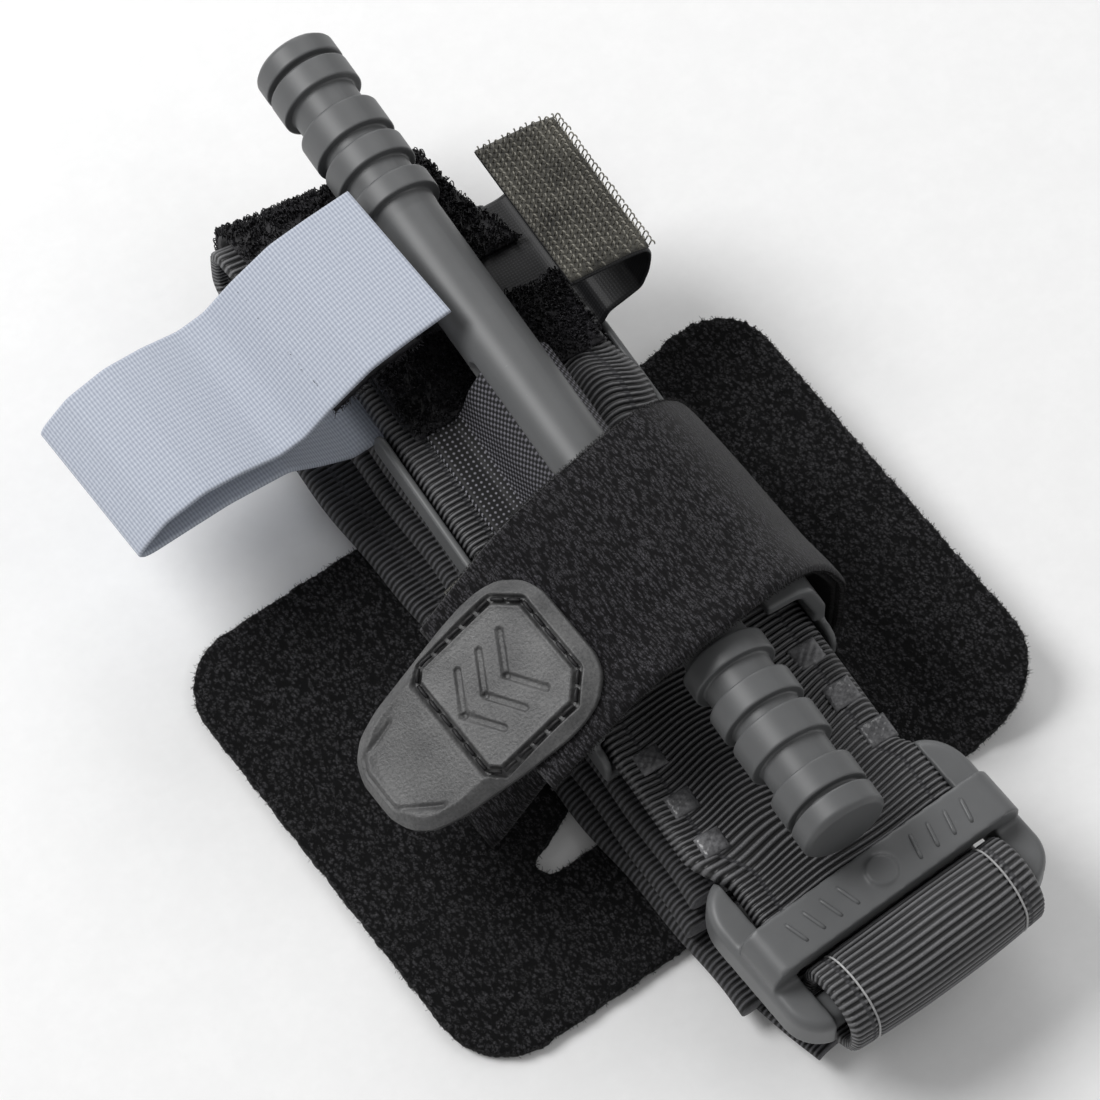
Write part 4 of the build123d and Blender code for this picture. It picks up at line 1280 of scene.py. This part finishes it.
# ---------------------------------------------------------------- windlass and its fittings
@dataclass
class Windlass:
    """The rod, the inner band through its slot, the stiffener plate and the clip."""

    finishes: Materials
    nodes: dict
    x: float = 7.7
    y: float = 26.7
    z: float = 31.0
    length: float = 152.0
    radius: float = 5.25
    neck: float = 5.45
    ring: float = 6.75
    rings: tuple[tuple[float, float], ...] = (
        (0.0, 3.9), (4.9, 9.2), (13.8, 18.9), (20.9, 25.0), (28.4, 32.0))
    slot_length: float = 32.5
    slot_height: float = 3.2
    sides: int = 96

    def profile(self) -> Points:
        """Radius along the rod, from one end to the other."""
        half = [(0.0, 1.2), (0.05, self.ring - 0.7), (0.75, self.ring)]
        for start, end in self.rings:
            if start > 0:
                half += [(start, self.neck), (start + 0.02, self.ring)]
            half += [(end, self.ring), (end + 0.02, self.neck)]
        half += [(self.rings[-1][1] + 2.5, self.radius)]
        other = [(self.length - along_rod, radius) for along_rod, radius in reversed(half)]
        return tuple(half + other)

    def build_rod(self) -> None:
        """Turn the rod, raise its mould line and cut its slot."""
        _, spots, _ = Line(self.profile(), 0.14).sample(0.24)
        angle = np.linspace(0, 2 * math.pi, self.sides, endpoint=False)
        radius = np.repeat(spots[:, 1:2], self.sides, 1)
        for line in (1.15, 1.15 + math.pi):
            radius = radius + 0.07 * hump(angle, line, 0.035)[None]
        rings = np.stack([
            self.x + radius * np.cos(angle)[None],
            self.y - self.length / 2 + np.repeat(spots[:, :1], self.sides, 1),
            self.z + radius * np.sin(angle)[None],
        ], -1)
        rings = faces_outward(rings)
        rod = make_object("windlass_rod_moulding", rings.reshape(-1, 3),
                          ring_faces(*rings.shape[:2]), self.finishes["rod"])
        self.cut_slot(rod)
        dress(rod, Body.WINDLASS, ["windlass_rod"])

    def cut_slot(self, rod: bpy.types.Object) -> None:
        """Cut the round-ended slot for the inner band through the rod."""
        end = self.slot_height / 2
        turn = np.linspace(-math.pi / 2, math.pi / 2, 13)
        half = np.stack([self.slot_length / 2 - end + end * np.cos(turn), end * np.sin(turn)], 1)
        outline = np.vstack([half, -half])
        rings = np.stack([
            np.column_stack([np.full(len(outline), self.x + side), outline[:, 0] + self.y,
                             outline[:, 1] + self.z])
            for side in (-2 * self.ring, 2 * self.ring)])
        if not np.cross(rings[0, 1] - rings[0, 0], rings[0, 2] - rings[0, 1])[0] > 0:
            rings = rings[:, ::-1]
        cutter = make_object("slot_cutter", rings.reshape(-1, 3), ring_faces(2, len(outline)),
                             self.finishes["rod"])
        cut = rod.modifiers.new("slot", "BOOLEAN")
        cut.object = cutter
        cut.solver = "EXACT"
        graph = bpy.context.evaluated_depsgraph_get()
        mesh = bpy.data.meshes.new_from_object(rod.evaluated_get(graph))
        rod.modifiers.clear()
        rod.data = mesh
        bpy.data.objects.remove(cutter)

    def build_inner_band(self) -> None:
        """Build the inner band: a flat foot, up to the slot, and down on the right."""
        left = Line(((-6.4, 20.5), (-1.6, 20.5), (0.2, 22.0), (1.5, 27.0), (3.6, 30.6),
                     (7.7, 31.0), (12.0, 31.0), (14.2, 28.8), (15.4, 24.0), (15.9, 20.4),
                     (17.0, 20.3)), 0.8)
        band = Ribbon("inner_band_weave", left, Across.Y, 28.6, 1.3, self.y + 0.4,
                      cells=50, step=0.4).build(self.finishes["twill"])
        band.data.materials.append(self.finishes["basket"])
        count = len(band.data.vertices)
        places = np.zeros(count * 3)
        band.data.vertices.foreach_get("co", places)
        flat = places.reshape(-1, 3)[:, 0] < -1.0 * MM
        for face in band.data.polygons:
            if flat[face.vertices[0]]:
                face.material_index = 1
        dress(band, Body.BASE, ["inner_band"])
        zigzag = np.linspace(0, 1, 46)
        y = self.y - 13.4 + 26.8 * zigzag
        x = 16.0 + 0.45 * np.where(np.arange(46) % 2, 1, -1)
        steps = np.linspace(0, 1, 4)[None, :, None]
        knots = np.column_stack([x, y, np.full(46, 21.15)])
        paths = knots[:-1, None] * (1 - steps) + knots[1:, None] * steps
        thread = fibres("inner_band_zigzag", paths, 0.16, self.finishes["light_thread"], sides=5)
        dress(thread, Body.BASE)

    def build_fittings(self) -> None:
        """Ease the edges of the stiffener plate and of the clip."""
        for node, slot in (("base_plate", "plate_plastic"), ("windlass_clip", "clip_plastic")):
            item = softened(self.nodes[node], node + "_moulding", self.finishes["acetal"], 0.33, 4)
            dress(item, Body.BASE, [node])

    def build(self) -> None:
        """Build the rod, the inner band and the fittings."""
        self.build_rod()
        self.build_inner_band()
        self.build_fittings()


# ---------------------------------------------------------------- hook-and-loop tapes
@dataclass
class Tapes:
    """The coarse loop patches, the base tape with its hook tab, and the time strap."""

    finishes: Materials
    nodes: dict
    loop_x: tuple[float, float] = (-8.2, 25.2)
    near_y: tuple[float, float] = (41.0, 55.4)
    far_y: float = 63.0
    tape_y: float = 57.3
    tape_width: float = 27.5
    hook_pitch: float = 1.02
    time_yaw: float = 4.4

    def loops_on(self, name: str, roots: np.ndarray, ups: np.ndarray, seed: int) -> None:
        """Stand small bent loops on a coarse patch.

        Args:
            name: The piece's name.
            roots: Where the loops stand.
            ups: Direction out of the patch at each root.
            seed: Seed of their sizes and turns.
        """
        rng = np.random.default_rng(seed)
        count = len(roots)
        turn = rng.uniform(0, 2 * math.pi, count)
        side = np.stack([np.cos(turn), np.sin(turn), np.zeros(count)], 1)
        side -= ups * (side * ups).sum(1, keepdims=True)
        side /= np.linalg.norm(side, axis=1, keepdims=True)
        lean = np.cross(ups, side) * rng.normal(0, 0.35, (count, 1))
        size = rng.uniform(0.45, 0.95, (count, 1, 1))
        arc = np.linspace(-0.25, math.pi + 0.25, 7)[None, :, None]
        paths = roots[:, None] + side[:, None] * np.cos(arc) * 0.42 * size
        paths = paths + (ups + lean)[:, None] * (np.sin(arc) * 1.35 * size - 0.1)
        item = fibres(name, paths, 0.11, self.finishes["loops"], sides=3)
        dress(item, Body.BASE)

    def build_near_patch(self) -> None:
        """Build the coarse patch next to the windlass."""
        x, y = self.loop_x, self.near_y
        line = Line(((y[0], 20.8), (y[1], 20.8)), 0.2)
        patch = Ribbon("loop_patch_near_ground", line, Across.X, x[1] - x[0], 1.0,
                       sum(x) / 2, cells=50, step=0.8).build(self.finishes["loops"])
        dress(patch, Body.BASE, ["loop_patch_near"])
        rng = np.random.default_rng(21)
        count = 2300
        ragged = y[0] + 0.8 * rng.standard_normal(count) * 0.5
        roots = np.column_stack([
            rng.uniform(*x, count), rng.uniform(0, 1, count) * (y[1] - ragged) + ragged,
            np.full(count, 21.2)])
        self.loops_on("loop_patch_near_loops", roots, np.tile([0.0, 0.0, 1.0], (count, 1)), 22)

    def build_far_patch(self) -> None:
        """Build the coarse patch that runs over the far turn."""
        far = 79.5 + 8.4
        points = ((self.far_y, 20.8), (far - 4.6, 20.8), (far - 1.5, 19.4), (far - 0.1, 16.2),
                  (far, 11.6))
        line = Line(points, 1.6)
        patch = Ribbon("loop_patch_far_ground", line, Across.X, self.loop_x[1] - self.loop_x[0],
                       1.0, sum(self.loop_x) / 2, cells=50, step=0.8,
                       warp=lambda points, s, v: far_bend(points))
        dress(patch.build(self.finishes["loops"]), Body.BASE, ["loop_patch_far"])
        rng = np.random.default_rng(23)
        count = 4300
        _, spots, normals = line.sample(0.2)
        at = rng.integers(0, len(spots), count)
        x = rng.uniform(*self.loop_x, count)
        roots = np.column_stack([x, spots[at, 0], spots[at, 1]])
        ups = np.column_stack([np.zeros(count), normals[at, 0], normals[at, 1]])
        roots = far_bend(roots + 0.4 * ups)
        self.loops_on("loop_patch_far_loops", roots, ups, 24)

    def build_hook_tab(self) -> None:
        """Build the base tape that turns up as the hook tab, and the tab's hooks."""
        points = ((-8.5, 19.9), (24.6, 19.9), (26.4, 20.6), (27.4, 23.0), (29.2, 23.6),
                  (33.2, 25.2), (34.4, 29.0), (34.7, 32.6), (34.0, 34.9), (31.5, 35.6),
                  (20.6, 36.5))
        line = Line(points, 0.9)
        tape = Ribbon("hook_tab_tape", line, Across.Y, self.tape_width, 0.7, self.tape_y,
                      cells=44, step=0.5).build(self.finishes["tape"])
        dress(tape, None, ["base_tape", "hook_tab"])
        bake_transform(tape)
        field_line = Line(((34.4, 35.2), (31.5, 36.3), (20.6, 37.2)), 0.8)
        ground = Ribbon("hook_field_ground", field_line, Across.Y, self.tape_width - 0.5, 0.6,
                        self.tape_y, cells=40, step=0.4).build(self.finishes["hook_base"])
        dress(ground, Body.TAB_FLAP, ["hook_tab_hooks"])
        _, spots, normals = field_line.sample(self.hook_pitch)
        paths = []
        rows = int(self.tape_width / (self.hook_pitch * 0.92))
        rng = np.random.default_rng(31)
        for k, (spot, normal) in enumerate(zip(spots, normals)):
            normal = normal if normal[1] > 0 else -normal
            up = np.array([normal[0], 0.0, normal[1]])
            for row in range(rows):
                y = self.tape_y - self.tape_width / 2 + (row + 0.5 + 0.5 * (k % 2)) * 0.94
                if y > self.tape_y + self.tape_width / 2 - 0.3:
                    continue
                root = np.array([spot[0], y, spot[1]]) + up * 0.25 + rng.normal(0, 0.06, 3)
                way = np.array([0.25, 1.0 if k % 2 else -1.0, 0.0])
                turn = np.linspace(0, math.pi * 0.95, 6)[:, None]
                stem = root + up * np.linspace(0, 0.85, 3)[:, None]
                bow = stem[-1] + up * 0.38 * np.sin(turn) + way * 0.38 * (1 - np.cos(turn))
                paths.append(np.vstack([stem, bow[1:]]))
        item = fibres("hook_field_hooks", np.array(paths), 0.13, self.finishes["hooks"], sides=5)
        dress(item, Body.TAB_FLAP)

    @staticmethod
    def time_waves(points: np.ndarray, s: np.ndarray, v: np.ndarray) -> np.ndarray:
        """Let the time strap twist a little between its edges."""
        points[..., 2] += 0.028 * v * np.sin(s * 0.09 + 0.5)
        return points

    def build_time_strap(self) -> None:
        """Build the pale strap as one folded length, with the hooks under its end."""
        points = ((-4.0, 14.6), (-12.2, 14.7), (-18.4, 18.6), (-23.5, 22.4), (-34.0, 23.7),
                  (-47.2, 23.4), (-49.4, 23.8), (-49.9, 24.9), (-48.6, 26.3), (-44.8, 29.4),
                  (-38.0, 31.0), (-31.6, 30.2), (-25.0, 28.4), (-20.3, 29.1), (-15.4, 32.6),
                  (-8.0, 36.5), (-1.5, 37.6), (6.4, 38.4))
        strap = Ribbon("time_strap_twill", Line(points, 0.85), Across.Y, 26.3, 0.75,
                       60.9, self.time_yaw, cells=60, step=0.4,
                       warp=self.time_waves).build(self.finishes["pale"])
        dress(strap, None, ["time_strap", "time_strap_flap"])
        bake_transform(strap)
        under = Line(points[-4:-1] + ((0.4, 37.8),), 0.85, -1.1)
        patch = Ribbon("time_strap_hook_patch", under, Across.Y, 26.6, 1.4, 60.9,
                       self.time_yaw, cells=44, step=0.5,
                       warp=self.time_waves).build(self.finishes["loops"])

        def rim(places: np.ndarray, ways: np.ndarray) -> np.ndarray:
            """The patch's sides."""
            return np.abs(ways[:, 2]) < 0.7

        fuzz = tufts(patch, "time_strap_hook_fuzz", 1500, 0.7, 0.05,
                     self.finishes["loops"], rim, 14)
        dress(patch, Body.TIME_FLAP, ["time_strap_hooks"])
        dress(fuzz, Body.TIME_FLAP)

    def build(self) -> None:
        """Build the patches, the hook tab and the time strap."""
        self.build_near_patch()
        self.build_far_patch()
        self.build_hook_tab()
        self.build_time_strap()


# ---------------------------------------------------------------- buckle
@dataclass
class BuckleEnd:
    """The moulded buckle and the roll of band round its near bar."""

    finishes: Materials
    nodes: dict
    x: float = 10.5
    y: float = -55.0
    yaw: float = 5.5

    roll: Points = (
        (-4.6, 13.4), (-4.7, 20.0), (-6.3, 22.2), (-9.5, 22.9), (-12.6, 22.0), (-14.9, 19.4),
        (-15.3, 15.4), (-13.9, 12.0), (-10.5, 10.7), (4.5, 10.8),
    )
    width: float = 35.0
    seam: float = 4.0

    def build(self) -> None:
        """Build the buckle, its plain marks, the roll and the roll's thread."""
        buckle = softened(self.nodes["buckle"], "buckle_moulding", self.finishes["acetal"],
                          0.3, 5, reshape=self.stretch)
        dress(buckle, Body.BUCKLE, ["buckle"])
        self.build_marks()
        line = Line(self.roll, 1.4)
        roll = Ribbon("band_roll_webbing", line, Across.X, self.width, 1.9, 0.0, self.yaw,
                      (self.x, self.y), cells=64, rib_pitch=0.92, rib_depth=0.32,
                      seam=self.seam, ripple=0.05, warp=self.crown)
        dress(roll.build(self.finishes["webbing"]), Body.BUCKLE, ["band_roll"])
        self.build_thread()

    def stretch(self, places: np.ndarray) -> np.ndarray:
        """Draw the arms out a little past the far bar."""
        centre = np.array([self.x, self.y, 0.0])
        local = turned(places - centre, -self.yaw)
        local[:, 1] += 0.26 * np.clip(local[:, 1] - 4.0, 0, None)
        return turned(local, self.yaw) + centre

    @staticmethod
    def crown(points: np.ndarray, s: np.ndarray, v: np.ndarray) -> np.ndarray:
        """Bulge the roll's middle and draw in its ends."""
        share = 1 - (v / 17.5) ** 2
        out = ease_in(-points[..., 1], 6, 14)
        points[..., 1] -= 0.8 * share * out
        points[..., 2] += 0.45 * share * ease_in(points[..., 2], 17, 21)
        return points

    def build_marks(self) -> None:
        """Raise short plain bars on both sides of the round boss."""
        _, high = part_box("buckle")
        top = high.z / MM - 0.5
        paths = []
        for side in (-1, 1):
            for k in range(4):
                x = side * (6.2 + 3.1 * k)
                steps = np.linspace(-1, 1, 9)
                paths.append(np.column_stack([
                    x + 0.5 * side * steps, 0.3 + 1.9 * steps,
                    np.full(9, top - 0.05) - 0.2 * steps ** 8]))
        rows = turned(np.array(paths), self.yaw, (self.x, self.y))
        marks = fibres("buckle_grip_bars", rows, 0.36, self.finishes["acetal"], sides=8)
        dress(marks, Body.BUCKLE)

    def build_thread(self) -> None:
        """Sew a light thread along the roll, a seam's width in from each edge."""
        _, spots, normals = Line(self.roll, 1.4).sample(0.45)
        outward = 1.0 if normals[len(normals) // 2, 0] < 0 else -1.0
        paths = []
        for side in (-1, 1):
            v = np.full(len(spots), side * (self.width / 2 - self.seam))
            rows = np.column_stack([v, spots + normals * outward * 1.0])
            rows = self.crown(rows[None].copy(), np.zeros(1), v[None])[0]
            paths.append(rows)
        rows = turned(np.array(paths), self.yaw, (self.x, self.y))
        thread = fibres("band_roll_thread", rows, 0.17, self.finishes["light_thread"], sides=6)
        dress(thread, Body.BUCKLE)


# ---------------------------------------------------------------- studio
@dataclass
class Studio:
    """A pale floor, soft lamps and the camera."""

    eye: tuple[float, float, float] = (-0.1831, -0.2720, 0.6620)
    aim: tuple[float, float, float] = (0.00061, 0.01762, 0.015)
    lens: float = 161.9
    roll: float = 0.3
    lamps: tuple = (
        ("key", (-0.45, 0.45, 0.75), 0.5, 6.2),
        ("fill", (0.6, -0.3, 0.6), 0.8, 1.1),
        ("rear", (0.35, 0.75, 0.6), 0.6, 2.6),
    )
    sky: float = 0.34

    def build(self) -> None:
        """Set the floor, the lamps, the sky and the camera."""
        size = 1500.0
        corners = np.array([[-size, -size, -0.2], [size, -size, -0.2], [size, size, -0.2],
                            [-size, size, -0.2]])
        # Matt painted board: even and pale.
        paper = Grained("board, matt white paint", 0.8, 1.45, 0.0, 0.02, 0.1,
                        dark="#f3f3f3", light="#f6f6f6", grain=2.0).material()
        make_object("floor", corners, [[0, 1, 2, 3]], paper)
        for name, place, size, power in self.lamps:
            lamp = bpy.data.lights.new(name, "AREA")
            lamp.shape = "DISK"
            lamp.size = size
            lamp.energy = power
            item = bpy.data.objects.new(name, lamp)
            item.location = place
            item.rotation_euler = (-Vector(place)).to_track_quat("-Z", "Y").to_euler()
            bpy.context.scene.collection.objects.link(item)
        world = bpy.data.worlds.new("studio")
        world.use_nodes = True
        world.node_tree.nodes["Background"].inputs["Color"].default_value = (1, 1, 1, 1)
        world.node_tree.nodes["Background"].inputs["Strength"].default_value = self.sky
        bpy.context.scene.world = world
        bpy.context.scene.view_settings.view_transform = "Standard"
        camera = bpy.data.cameras.new("camera")
        camera.lens = self.lens
        camera.sensor_width = 36.0
        camera.clip_start = 0.01
        item = bpy.data.objects.new("camera", camera)
        way = (Vector(self.aim) - Vector(self.eye)).to_track_quat("-Z", "Y").to_matrix().to_4x4()
        turn = Matrix.Rotation(math.radians(self.roll), 4, "Z")
        item.matrix_world = Matrix.Translation(self.eye) @ way @ turn
        bpy.context.scene.collection.objects.link(item)
        bpy.context.scene.camera = item


def main() -> None:
    """Build the tourniquet, its carrier and the studio."""
    logging.basicConfig(level=logging.INFO, format="%(name)s: %(message)s")
    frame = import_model()
    finishes = {key: finish.material() for key, finish in FINISHES.items()}
    nodes = frame["nodes"]
    Studio().build()
    Carrier(finishes, nodes).build()
    PullTab(finishes).build()
    Band(finishes).build()
    Windlass(finishes, nodes).build()
    Tapes(finishes, nodes).build()
    BuckleEnd(finishes, nodes).build()


if __name__ == "__main__":
    main()
